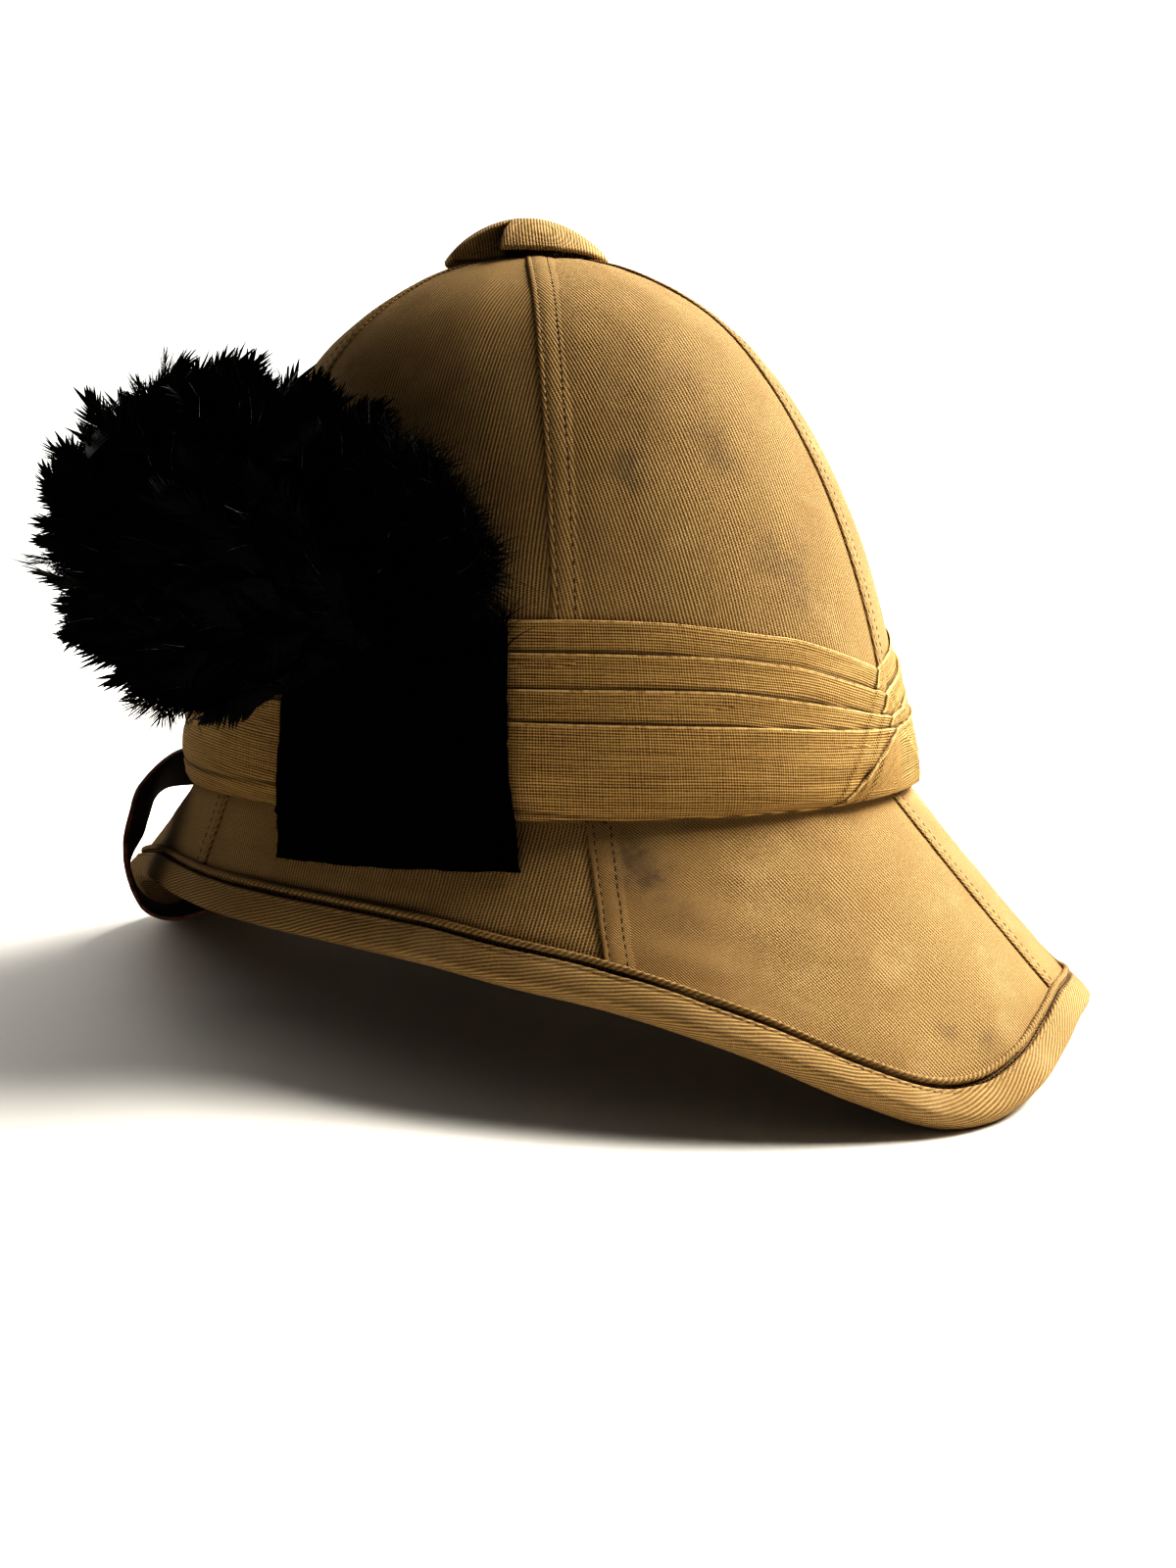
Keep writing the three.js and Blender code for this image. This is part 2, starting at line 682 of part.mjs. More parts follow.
// Plume
function makeLock(root, tip, width, thick) {
  const middle = root.clone().lerp(tip, 0.5);
  middle.x += LOCK_THICK * LOCK_BOW_OUT;
  middle.z += PLUME_LENGTH * LOCK_BOW_UP;
  const path = new THREE.QuadraticBezierCurve3(root, middle, tip);
  const sections = LOCK_PROFILE.map((row) => {
    const point = path.getPoint(row.at);
    const along = path.getTangent(row.at);
    const across = new THREE.Vector3(1, 0, 0).cross(along).normalize();
    const face = along.clone().cross(across);
    return Array.from({ length: LOCK_SIDES }, (_, i) => {
      const a = i * 2 * Math.PI / LOCK_SIDES;
      return point.clone()
        .addScaledVector(across, Math.cos(a) * width / 2 * row.share)
        .addScaledVector(face, Math.sin(a) * thick / 2 * row.share);
    });
  });
  return loft(sections, false);
}

function makePlume() {
  const angle = (PATCH_FROM + PATCH_TO) / 2;
  const onPatch = patchTopProud + PATCH_THICK + 3 * CLEARANCE;
  const root = lifted(angle, lineAtHeight(BAND_HEIGHT * PLUME_LEVEL), onPatch + PLUME_HEAD_RADIUS);
  const head = new THREE.SphereGeometry(PLUME_HEAD_RADIUS, 10, 8);
  head.translate(root.x, root.y, root.z);
  let plume = toSolid(head);
  for (const row of LOCKS) {
    const step = new THREE.Vector3(row.out, -row.forward, row.up).multiplyScalar(PLUME_LENGTH);
    const lock = makeLock(root, root.clone().add(step), LOCK_WIDTH * row.width, LOCK_THICK);
    plume = plume.add(toSolid(lock));
  }
  return toGeometry(plume);
}

// The helmet rests on its tail and its peak: the slope of the floor under them, and where it meets y = 0.
function restingFloor(geometry) {
  const position = geometry.attributes.position;
  const lowest = (isBack) => {
    const low = new THREE.Vector3(0, 0, Infinity);
    for (let i = 0; i < position.count; i += 1) {
      if (position.getY(i) > 0 === isBack && position.getZ(i) < low.z) {
        low.fromBufferAttribute(position, i);
      }
    }
    return low;
  };
  const front = lowest(false);
  const back = lowest(true);
  const slope = (back.z - front.z) / (back.y - front.y);
  return { slope, height: front.z - front.y * slope + REST_FLAT };
}

// The binding is pressed flat where it meets the floor.
function pressFlat(geometry, floor) {
  const up = new THREE.Vector3(0, -floor.slope, 1).normalize();
  return toGeometry(toSolid(geometry).trimByPlane(up.toArray(), floor.height * up.z));
}

const binding = makeBinding();
const floor = restingFloor(binding);

addPiece('shell', drillForStuds(makeShell()), cloth(KHAKI));
for (const seam of SEAMS) {
  addPiece(seam.name, makeSeam(seam), cloth(KHAKI));
}
addPiece('brim_binding', pressFlat(binding, floor), cloth(KHAKI));
addPiece('brim_piping', makePiping(), cloth(KHAKI));
addPiece('puggaree', makeBand(), cloth(OLIVE_GOLD));
addPiece('side_patch', makePatch(), cloth(BLACK));
addPiece('button', makeButton(), cloth(KHAKI));
addPiece('button_post', makePost(), metal(BRASS));
addPiece('chin_strap', drillForStuds(makeStrap()), cloth(OXBLOOD));
addPiece('strap_stud_left', makeStud(1), metal(BRASS));
addPiece('strap_stud_right', makeStud(-1), metal(BRASS));
addPiece('plume', makePlume(), cloth(BLACK));

// The helmet stands level on the floor, with the middle of its outer box over the origin.
helmet.rotation.x = -Math.atan(floor.slope);
helmet.updateMatrixWorld(true);
const box = new THREE.Box3().setFromObject(helmet, true);
const middle = box.getCenter(new THREE.Vector3());
helmet.position.set(-middle.x, -middle.y, -box.min.z);

export default helmet;
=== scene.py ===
import math

import bpy
import numpy as np
from mathutils import Matrix, Vector


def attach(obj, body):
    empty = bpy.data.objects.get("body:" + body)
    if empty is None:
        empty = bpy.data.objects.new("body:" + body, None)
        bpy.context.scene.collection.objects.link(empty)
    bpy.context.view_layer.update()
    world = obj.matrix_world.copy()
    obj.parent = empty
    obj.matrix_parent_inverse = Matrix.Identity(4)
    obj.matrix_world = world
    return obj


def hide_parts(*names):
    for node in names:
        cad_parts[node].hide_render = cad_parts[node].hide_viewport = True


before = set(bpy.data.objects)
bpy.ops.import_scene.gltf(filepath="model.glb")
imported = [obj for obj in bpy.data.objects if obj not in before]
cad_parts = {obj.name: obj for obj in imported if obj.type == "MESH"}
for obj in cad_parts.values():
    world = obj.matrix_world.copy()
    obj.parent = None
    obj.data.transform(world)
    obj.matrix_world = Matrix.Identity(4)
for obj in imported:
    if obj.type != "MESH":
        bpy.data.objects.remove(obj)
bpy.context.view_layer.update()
rng = np.random.default_rng(7)

# Sizes are in millimetres and angles in degrees from the front, as in the CAD. MM turns them into metres.
MM = 0.001

# Crown, an egg whose width shrinks upwards by two powers
HALF_LENGTH = 131.0
HALF_WIDTH = 113.0
CROWN_HEIGHT = 174.3
CROWN_LEAN = 3.25
FOOT_SHARE = 0.96
CROWN_FULLNESS = 1.74
CROWN_ROUNDNESS = 2.27
WALL = 4.0
VENT_RADIUS = 11.0
TOP_DIP = 2.4

# Brim: angle from the front, reach as a share of the plan, and drop as a share of BRIM_DROP
BRIM_DROP = 75.0
FLARE_OUT = 0.5
FLARE_DOWN = 0.53
TUCK = 0.05
TUCK_ANGLE = 206.0
TUCK_SPREAD = 17.0
BRIM_EDGE = np.array([
    (0, 1.29, 0.87), (7, 1.29, 0.84), (13, 1.275, 0.745), (19, 1.25, 0.63), (26, 1.21, 0.54),
    (35, 1.13, 0.485), (46, 1.085, 0.46), (62, 1.075, 0.45), (86, 1.095, 0.45), (101, 1.145, 0.465),
    (112, 1.2, 0.51), (123, 1.265, 0.57), (134, 1.36, 0.69), (143, 1.435, 0.85), (150, 1.477, 0.96),
    (156, 1.48, 0.985), (163, 1.463, 0.945), (171, 1.43, 0.895), (180, 1.413, 0.865),
])

# Trim
CLEARANCE = 0.3
SEAM_THICK = 1.0
SEAM_RING = 19.0
BINDING_HEIGHT = 9.0
BINDING_THICK = 1.6
BINDING_FOLD = 2.2
PIPING_RADIUS = 1.0
PIPING_ABOVE_BINDING = 1.4
EDGE_INSET = CLEARANCE + BINDING_THICK
PIPING_INSET = BINDING_HEIGHT + PIPING_ABOVE_BINDING + PIPING_RADIUS

# Puggaree, button, patch, strap and plume
BAND_HEIGHT = 55.0
BAND_PROUD = 6.6
BUTTON_RADIUS = 27.5
BUTTON_RISE = 11.0
BUTTON_LIFT = 0.7
BUTTON_FORWARD = 2.0
PATCH_FROM = 80.0
PATCH_TO = 112.4
PATCH_THICK = 1.6
PATCH_TOP_BELOW_BAND = 1.5
PATCH_BELOW_BAND = 16.0
PATCH_WIDENS = 0.07
STRAP_WIDTH = 19.0
STRAP_THICK = 2.0
STRAP_BOW = 10.0
PLUME_HEAD_RADIUS = 12.0


def crown_height_at(radius):
    """The height of the crown's outside at a distance from its axis."""
    share = radius / HALF_LENGTH / FOOT_SHARE
    return CROWN_HEIGHT * (1 - share ** CROWN_ROUNDNESS) ** (1 / CROWN_FULLNESS)


VENT_LEVEL = (1 - (VENT_RADIUS / HALF_WIDTH / FOOT_SHARE) ** CROWN_ROUNDNESS) ** (1 / CROWN_FULLNESS)
BUTTON_MIDDLE = -CROWN_LEAN * VENT_LEVEL - BUTTON_FORWARD
BUTTON_SEAT = crown_height_at(SEAM_RING) + CLEARANCE + SEAM_THICK + BUTTON_LIFT


# Places and directions
def turned(points, angle):
    """Points or directions turned about the X axis."""
    points = np.asarray(points, float)
    c = math.cos(angle)
    s = math.sin(angle)
    x, y, z = points[..., 0], points[..., 1], points[..., 2]
    return np.stack([x, c * y - s * z, s * y + c * z], -1)


def read_stance():
    """How the helmet stands, read from the post, whose axis is upright in the helmet's own frame."""
    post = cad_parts["button_post"].data
    corners = np.array([vertex.co for vertex in post.vertices]) / MM
    height = corners[:, 2]
    end = 1.0
    top = corners[height > height.max() - end].mean(0)
    foot = corners[height < height.min() + end].mean(0)
    turn = math.atan2(foot[1] - top[1], top[2] - foot[2])
    own_top = np.array([0.0, BUTTON_MIDDLE, BUTTON_SEAT - CLEARANCE])
    return turn, top - turned(own_top, turn)


TURN, PLACE = read_stance()


def to_row(points):
    """Points of the helmet's own frame, in mm, to the row frame in metres."""
    return (turned(points, TURN) + PLACE) * MM


def unit(v):
    v = np.asarray(v, float)
    return v / np.maximum(np.linalg.norm(v, axis=-1, keepdims=True), 1e-12)


def smooth(a, b, x):
    """0 below a and 1 above b, with a soft step between them."""
    t = np.clip((np.asarray(x, float) - a) / (b - a), 0, 1)
    return t * t * (3 - 2 * t)


# The helmet's skin
def read_table(table, angle, column):
    """A column of a table at some angles, the same left and right, with a smooth curve through its rows."""
    folded = np.abs((np.asarray(angle, float) + 180) % 360 - 180)
    xs = table[:, 0]
    ys = table[:, column]
    i = np.clip(np.searchsorted(xs, folded, side="left") - 1, 0, len(xs) - 2)
    slope = np.zeros(len(xs))
    slope[1:-1] = (ys[2:] - ys[:-2]) / (xs[2:] - xs[:-2])
    span = xs[i + 1] - xs[i]
    x = (folded - xs[i]) / span
    a = 2 * x ** 3 - 3 * x ** 2 + 1
    ends = a * ys[i] + (1 - a) * ys[i + 1]
    return ends + (x ** 3 - 2 * x ** 2 + x) * span * slope[i] + (x ** 3 - x ** 2) * span * slope[i + 1]


def plan_point(angle, share, z, lean):
    t = np.radians(angle)
    x = HALF_WIDTH * share * np.sin(t)
    y = -HALF_LENGTH * share * np.cos(t) - lean
    return np.stack(np.broadcast_arrays(x, y, z), -1)


def crown_point(angle, level):
    level = np.clip(level, 0, 1)
    share = FOOT_SHARE * (1 - level ** CROWN_FULLNESS) ** (1 / CROWN_ROUNDNESS)
    height = CROWN_HEIGHT * level - TOP_DIP * smooth(0.8, 0.96, level)
    return plan_point(angle, share, height, CROWN_LEAN * level)


def brim_point(angle, along):
    """A place on the brim: along is 0 at the crown's foot and 1 at the edge, on a flaring curve."""
    angle, along = np.broadcast_arrays(np.asarray(angle, float), np.asarray(along, float))
    tuck = TUCK * np.exp(-(((angle % 360) - TUCK_ANGLE) / TUCK_SPREAD) ** 2)
    reach = read_table(BRIM_EDGE, angle, 1) - FOOT_SHARE - tuck
    drop = read_table(BRIM_EDGE, angle, 2) * BRIM_DROP
    k = np.minimum(along, 1)
    past = np.maximum(along - 1, 0)
    bend = 2 * k * (1 - k)
    out = bend * FLARE_OUT + k * k + past * 2 * (1 - FLARE_OUT)
    down = bend * FLARE_DOWN + k * k + past * 2 * (1 - FLARE_DOWN)
    return plan_point(angle, FOOT_SHARE + reach * out, -drop * down, 0 * angle)


def skin(angle, line):
    """A place on the outside: line runs from -1 at the vent over 0 at the crown's foot to 1 at the edge."""
    angle, line = np.broadcast_arrays(np.asarray(angle, float), np.asarray(line, float))
    crown = crown_point(angle, VENT_LEVEL * np.sin(np.clip(-line, 0, 1) * math.pi / 2))
    return np.where((line < 0)[..., None], crown, brim_point(angle, np.maximum(line, 0)))


def downhill(angle, line):
    line = np.asarray(line, float)
    return unit(skin(angle, line + 0.01) - skin(angle, np.maximum(line - 0.01, -1)))


def outward(angle, line):
    angle = np.asarray(angle, float)
    return unit(np.cross(downhill(angle, line), skin(angle + 0.5, line) - skin(angle - 0.5, line)))


def lifted(angle, line, lift):
    return skin(angle, line) + outward(angle, line) * np.asarray(lift, float)[..., None]


def line_at_height(z):
    return -np.arcsin(np.clip(np.asarray(z, float) / CROWN_HEIGHT / VENT_LEVEL, -1, 1)) * 2 / math.pi


def line_from_edge(angle, distance):
    """The line that lies a distance in from the brim's edge, measured on the skin."""
    angle = np.atleast_1d(np.asarray(angle, float))
    steps = 40
    lines = 1 - np.arange(steps + 1) / steps
    p = skin(angle[:, None], lines[None, :])
    walked = arc(p, 1)
    return np.array([np.interp(distance, walked[i], lines) for i in range(len(angle))])


# Mesh helpers
def make_object(name, verts, faces, uv=None, mats=(), mat_index=None, row=False, extra=None):
    """One mesh object. verts are in mm in the helmet's frame, or in metres in the row frame if row."""
    co = np.asarray(verts, float) if row else to_row(verts)
    faces = [np.asarray(f, np.int64) for f in (faces if isinstance(faces, list) else [faces])]
    mesh = bpy.data.meshes.new(name)
    loops = np.concatenate([f.ravel() for f in faces])
    sizes = np.concatenate([np.full(len(f), f.shape[1]) for f in faces])
    starts = np.concatenate([[0], np.cumsum(sizes)[:-1]])
    mesh.vertices.add(len(co))
    mesh.vertices.foreach_set("co", co.astype(np.float32).ravel())
    mesh.loops.add(len(loops))
    mesh.loops.foreach_set("vertex_index", loops.astype(np.int32))
    mesh.polygons.add(len(sizes))
    mesh.polygons.foreach_set("loop_start", starts.astype(np.int32))
    if uv is not None:
        layer = mesh.uv_layers.new(name="cloth")
        corners = [np.asarray(u, float).reshape(-1, 2) for u in (uv if isinstance(uv, list) else [uv])]
        layer.data.foreach_set("uv", np.concatenate(corners).astype(np.float32).ravel())
    if mat_index is not None:
        mesh.polygons.foreach_set("material_index", np.asarray(mat_index, np.int32))
    mesh.polygons.foreach_set("use_smooth", np.ones(len(sizes), bool))
    for key, values in (extra or {}).items():
        layer = mesh.attributes.new(key, "FLOAT", "POINT")
        layer.data.foreach_set("value", np.asarray(values, np.float32).ravel())
    mesh.update(calc_edges=True)
    mesh.validate()
    for material in mats:
        mesh.materials.append(material)
    obj = bpy.data.objects.new(name, mesh)
    bpy.context.scene.collection.objects.link(obj)
    return obj


def grid_faces(rows, cols, wrap_cols=False, wrap_rows=False, start=0, flip=False):
    """The quads of a grid of vertices counted row by row."""
    r = np.arange(rows if wrap_rows else rows - 1)
    c = np.arange(cols if wrap_cols else cols - 1)
    r, c = np.meshgrid(r, c, indexing="ij")
    r2 = (r + 1) % rows
    c2 = (c + 1) % cols
    corners = [r * cols + c, r2 * cols + c, r2 * cols + c2, r * cols + c2]
    quads = np.stack(corners, -1).reshape(-1, 4) + start
    return quads[:, ::-1] if flip else quads


def grid_uv(u, v, flip=False):
    """Corner coordinates for an unwrapped grid whose u and v have one more column where it wraps."""
    a = np.stack([u, v], -1)
    quads = np.stack([a[:-1, :-1], a[1:, :-1], a[1:, 1:], a[:-1, 1:]], 2).reshape(-1, 4, 2)
    return quads[:, ::-1] if flip else quads


def arc(p, axis):
    """Distance walked along an axis of a grid of points."""
    step = np.linalg.norm(np.diff(p, axis=axis), axis=-1)
    pad = [(0, 0), (0, 0)]
    pad[axis] = (1, 0)
    return np.cumsum(np.pad(step, pad), axis=axis)


def path_length(points):
    """Distance walked along one line of points, at each of them."""
    return arc(points[None], 1)[0]


def read_path(points, place):
    """Points of a line at places counted in points, with fractions."""
    return np.stack([np.interp(place, np.arange(len(points)), points[:, i]) for i in range(3)], 1)


def value_noise(x, y, seed=0):
    """Smooth noise from 0 to 1 on a plane, one cell to a unit."""
    x, y = np.broadcast_arrays(np.asarray(x, float), np.asarray(y, float))
    column = np.floor(x).astype(np.int64)
    row = np.floor(y).astype(np.int64)
    fx = smooth(0, 1, x - column)
    fy = smooth(0, 1, y - row)

    def cell(i, j):
        h = (i * 374761393 + j * 668265263 + seed * 1442695041) & 0xFFFFFFFF
        h = ((h ^ (h >> 13)) * 1274126177) & 0xFFFFFFFF
        return ((h ^ (h >> 16)) & 0xFFFF) / 65535.0

    near = cell(column, row) * (1 - fx) + cell(column + 1, row) * fx
    far = cell(column, row + 1) * (1 - fx) + cell(column + 1, row + 1) * fx
    return near * (1 - fy) + far * fy


def finish_piece(obj, nodes=()):
    """The piece rides on the helmet and stands in for CAD nodes."""
    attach(obj, "root")
    if nodes:
        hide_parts(*nodes)
    return obj


# Materials
class Signal:
    """An output of a node, which can be used in a sum like a number."""

    def __init__(self, surface, socket):
        self.surface = surface
        self.socket = socket

    def __add__(self, other):
        return self.surface.math("ADD", self, other)

    def __sub__(self, other):
        return self.surface.math("SUBTRACT", self, other)

    def __rsub__(self, other):
        return self.surface.math("SUBTRACT", other, self)

    def __mul__(self, other):
        return self.surface.math("MULTIPLY", self, other)

    def __truediv__(self, other):
        return self.surface.math("DIVIDE", self, other)


class Surface:
    """One procedural material: its shader, and short names for the nodes that feed it."""

    def __init__(self, name, roughness=0.9, specular=0.15):
        self.material = bpy.data.materials.new(name)
        self.material.use_nodes = True
        self.tree = self.material.node_tree
        self.tree.nodes.clear()
        output = self.tree.nodes.new("ShaderNodeOutputMaterial")
        self.shader = self.tree.nodes.new("ShaderNodeBsdfPrincipled")
        self.tree.links.new(self.shader.outputs[0], output.inputs[0])
        self.set("Roughness", roughness)
        self.set("Specular IOR Level", specular)

    def put(self, socket, value):
        if isinstance(value, Signal):
            self.tree.links.new(value.socket, socket)
        elif socket.type == "RGBA":
            socket.default_value = (*value, 1)
        else:
            socket.default_value = value

    def set(self, name, value):
        """Gives the shader a number, a colour or a signal."""
        self.put(self.shader.inputs[name], value)

    def node(self, kind, **values):
        """A new node, with numbers or signals on the named inputs."""
        made = self.tree.nodes.new(kind)
        for name, value in values.items():
            self.put(made.inputs[name], value)
        return made

    def math(self, operation, first, second=0.0):
        made = self.node("ShaderNodeMath")
        made.operation = operation
        self.put(made.inputs[0], first)
        self.put(made.inputs[1], second)
        return Signal(self, made.outputs[0])

    def vector_math(self, operation, vector, other, output):
        made = self.node("ShaderNodeVectorMath")
        made.operation = operation
        self.put(made.inputs[0], vector)
        self.put(made.inputs[1], other)
        return Signal(self, made.outputs[output])

    def cloth_place(self):
        """The place on the cloth in mm, as a vector and as its two parts."""
        made = self.tree.nodes.new("ShaderNodeUVMap")
        made.uv_map = "cloth"
        place = Signal(self, made.outputs[0])
        parts = self.node("ShaderNodeSeparateXYZ", Vector=place)
        return place, Signal(self, parts.outputs[0]), Signal(self, parts.outputs[1])

    def where(self):
        return Signal(self, self.node("ShaderNodeNewGeometry").outputs["Position"])

    def attribute(self, name):
        made = self.node("ShaderNodeAttribute")
        made.attribute_name = name
        return Signal(self, made.outputs["Fac"])

    def noise(self, vector, scale, detail=3.0, rough=0.55, distort=0.0):
        made = self.node("ShaderNodeTexNoise", Vector=vector, Scale=scale, Detail=detail)
        self.put(made.inputs["Roughness"], rough)
        self.put(made.inputs["Distortion"], distort)
        return Signal(self, made.outputs[0])

    def stretched_noise(self, vector, across, along, detail=3.0, rough=0.55, distort=0.0):
        """Noise with its own number of cells to a mm in each direction of the cloth."""
        made = self.node("ShaderNodeMapping", Vector=vector, Scale=(across, along, 1.0))
        return self.noise(Signal(self, made.outputs[0]), 1.0, detail, rough, distort)

    def cells(self, vector, scale):
        """The distance from the middle of the nearest cell."""
        made = self.node("ShaderNodeTexVoronoi", Vector=vector, Scale=scale)
        return Signal(self, made.outputs["Distance"])

    def rib(self, place, pitch):
        """A rounded ridge from 0 to 1 repeated every pitch along a place in mm."""
        return self.math("COSINE", place * (2 * math.pi / pitch)) * 0.5 + 0.5

    def ramp(self, value, start, end, low=0.0, high=1.0):
        made = self.node("ShaderNodeMapRange")
        made.interpolation_type = "SMOOTHSTEP"
        for socket, number in zip(made.inputs, (value, start, end, low, high)):
            self.put(socket, number)
        return Signal(self, made.outputs[0])

    def mix(self, share, first, second):
        made = self.tree.nodes.new("ShaderNodeMix")
        made.data_type = "RGBA"
        self.put(made.inputs["Factor"], share)
        self.put(made.inputs[6], first)
        self.put(made.inputs[7], second)
        return Signal(self, made.outputs[2])

    def near(self, place, radius):
        """1 at a place of the row frame, in metres, fading to 0 at radius."""
        return self.ramp(self.vector_math("DISTANCE", self.where(), place, "Value"), 0.0, radius, 1.0, 0.0)

    def finish(self, colour, height, depth, strength):
        """Gives the shader its colour and its fine relief, whose depth is in metres."""
        self.set("Base Color", colour)
        bump = self.node("ShaderNodeBump", Height=height, Distance=depth, Strength=strength)
        self.set("Normal", Signal(self, bump.outputs[0]))
        return self.material


def tinted(colour, *shares):
    """A colour with all its channels multiplied by one share, or each by its own."""
    return tuple(min(1, channel * share) for channel, share in zip(colour, shares * (3 // len(shares))))


# Wear of the khaki: scale, detail and roughness of the noise, its range, how strong it is, and its tint
KHAKI_WEAR = [
    (17.0, 5.0, 0.65, 0.46, 0.72, 0.5, (0.5, 0.46, 0.42)),
    (75.0, 4.0, 0.6, 0.52, 0.72, 0.28, (0.55, 0.5, 0.45)),
    (31.0, 5.0, 0.65, 0.52, 0.75, 0.22, (1.3, 1.36, 1.6)),
]
STAIN_COLOUR = (0.075, 0.058, 0.048)


def twill(name, ridge, groove, slant, pitch, stains=(), thread=0.72, relief=0.75):
    """Cotton twill: slanted ridges of short floats, with fading, grime and stains."""
    surface = Surface(name)
    place, u, v = surface.cloth_place()
    c = math.cos(math.radians(slant))
    s = math.sin(math.radians(slant))
    wander = (surface.stretched_noise(place, 0.03, 0.012, 2.0) - 0.5) * 3.2
    across = u * c + v * s + wander
    along = v * c - u * s
    ridge_number = surface.math("FLOOR", across / pitch)
    floats = surface.rib(along + ridge_number * (thread * 0.37), thread)
    slub = surface.stretched_noise(place, 1.3, 1.3, 3.0, 0.7)
    height = surface.rib(across, pitch) * 0.5 + floats * 0.24 + slub * 0.62
    cloth = surface.mix(surface.ramp(height, 0.32, 1.05), groove, ridge)
    for scale, detail, rough, start, end, strength, tint in KHAKI_WEAR:
        patches = surface.ramp(surface.noise(surface.where(), scale, detail, rough), start, end)
        cloth = surface.mix(patches * strength, cloth, tinted(ridge, *tint))
    for middle, radius, strength in stains:
        ragged = surface.ramp(surface.noise(surface.where(), 120.0, 5.0, 0.72, 0.2), 0.3, 0.78)
        cloth = surface.mix(surface.near(middle, radius) * ragged * (strength * 0.8), cloth, STAIN_COLOUR)
    return surface.finish(cloth, height, 0.00035, relief)


def plain_weave(name, light, dark, pitch, openness, folds=False):
    """Open plain weave: uneven threads over and under, with thick and thin yarns."""
    surface = Surface(name)
    place, u, v = surface.cloth_place()
    drift_u = (surface.stretched_noise(place, 0.2, 0.04) - 0.5) * 0.9
    drift_v = (surface.stretched_noise(place, 0.03, 0.2) - 0.5) * 1.2
    warp = surface.rib(u + drift_u, pitch)
    weft = surface.rib(v + drift_v, pitch)
    thick_weft = surface.stretched_noise(place, 0.035, 1.15, 2.0, 0.6)
    thick_warp = surface.stretched_noise(place, 1.2, 0.06, 2.0, 0.6)
    speck = surface.stretched_noise(place, 1.1, 1.1, 2.0, 0.7)
    height = weft * 0.42 + warp * 0.2 + thick_weft * 0.62 + thick_warp * 0.3 + speck * 0.4
    hole = surface.ramp((1.0 - warp) * (1.0 - weft), 0.2, 0.75) * openness
    cloth = surface.mix(surface.ramp(height, 0.62, 1.22), dark, light)
    cloth = surface.mix(hole, cloth, tinted(dark, 0.3))
    grime = surface.ramp(surface.noise(surface.where(), 22.0, 4.0, 0.6), 0.48, 0.72)
    cloth = surface.mix(grime * 0.35, cloth, tinted(light, 0.66, 0.63, 0.52))
    if folds:
        # painted highlight with fading: each folded top edge is lightened and blued
        wear_and_highlight = surface.ramp(surface.stretched_noise(place, 0.5, 0.5), 0.25, 0.6)
        cloth = surface.mix(surface.attribute("fold") * wear_and_highlight * 0.75, cloth, tinted(light, 1.45, 1.5, 1.7))
        # painted shade: darkened towards black in the creases above the edges of the strips on top, and near
        # the foot
        cloth = surface.mix(surface.attribute("crease") * 0.85, cloth, tinted(dark, 0.2))
    return surface.finish(cloth, height - hole, 0.0003, 0.8)


def felt(name, colour, lint):
    """Matted wool: fine fibres in clumps, with a few specks of lint."""
    surface = Surface(name, 0.95, 0.03)
    where = surface.where()
    fibre = surface.noise(where, 2600.0, 4.0, 0.7, 1.5)
    clump = surface.noise(where, 320.0, 3.0, 0.6)
    cloth = surface.mix(surface.ramp(fibre, 0.4, 0.75), tinted(colour, 0.45), colour)
    cloth = surface.mix(surface.ramp(clump, 0.5, 0.7) * 0.4, cloth, tinted(colour, 1.7))
    specks = surface.ramp(surface.cells(where, 160.0), 0.02, 0.07, 1.0, 0.0)
    cloth = surface.mix(specks * surface.ramp(surface.noise(where, 61.0, 2.0), 0.62, 0.7), cloth, lint)
    return surface.finish(cloth, fibre + clump * 0.8, 0.0005, 0.7)


def feather(name, dark, sheen, rough, specular):
    """Barbs: a dyed near black mixed in patches with a painted sheen, a paler violet near black, changing
    from feather to feather.
    """
    surface = Surface(name, rough, specular)
    where = surface.where()
    # painted sheen: patches of the sheen colour over the dyed near black
    colour = surface.mix(surface.ramp(surface.noise(where, 240.0, 2.0), 0.35, 0.75), dark, sheen)
    return surface.finish(colour, surface.noise(where, 900.0, 2.0), 0.0002, 0.4)


def leather(name, dark, mid, pale, rough, coat):
    """Strap leather: a pebbled grain with creases, paler where it bends, partly from rubbing wear and partly
    a painted sheen.
    """
    surface = Surface(name, rough, 0.3)
    place, _, _ = surface.cloth_place()
    grain = surface.cells(place, 1.6)
    fine = surface.noise(place, 2.2, 4.0, 0.6)
    crease = surface.stretched_noise(place, 0.9, 0.12, 4.0, 0.65, 0.6)
    patches = surface.stretched_noise(place, 0.05, 0.12, 4.0, 0.6)
    colour = surface.mix(surface.ramp(patches, 0.35, 0.68), dark, mid)
    wear_and_sheen_patches = surface.ramp(surface.noise(place, 0.35, 4.0, 0.65), 0.3, 0.6)
    # paler where it bends: rubbing wear with a painted sheen; along the edges: rubbing wear
    colour = surface.mix(surface.ramp(surface.attribute("wear_and_highlight"), 0.2, 0.95) * wear_and_sheen_patches, colour, pale)
    colour = surface.mix(surface.ramp(crease, 0.56, 0.7) * 0.5, colour, tinted(dark, 0.4))
    surface.set("Roughness", surface.ramp(fine, 0.3, 0.8, rough, rough + 0.2))
    surface.set("Coat Weight", coat)
    surface.set("Coat Roughness", 0.3)
    return surface.finish(colour, grain * 0.5 + fine * 0.4 + crease * 0.7, 0.00035, 0.7)


def brass(name):
    """Dull brass with tarnish."""
    surface = Surface(name, 0.5, 0.5)
    where = surface.where()
    tarnish = surface.ramp(surface.noise(where, 420.0, 4.0, 0.6), 0.4, 0.7)
    surface.set("Metallic", 1.0)
    surface.set("Roughness", surface.ramp(tarnish, 0.0, 1.0, 0.32, 0.6))
    colour = surface.mix(tarnish, (0.42, 0.28, 0.11), (0.16, 0.1, 0.05))
    return surface.finish(colour, surface.noise(where, 900.0, 3.0), 0.00008, 0.5)


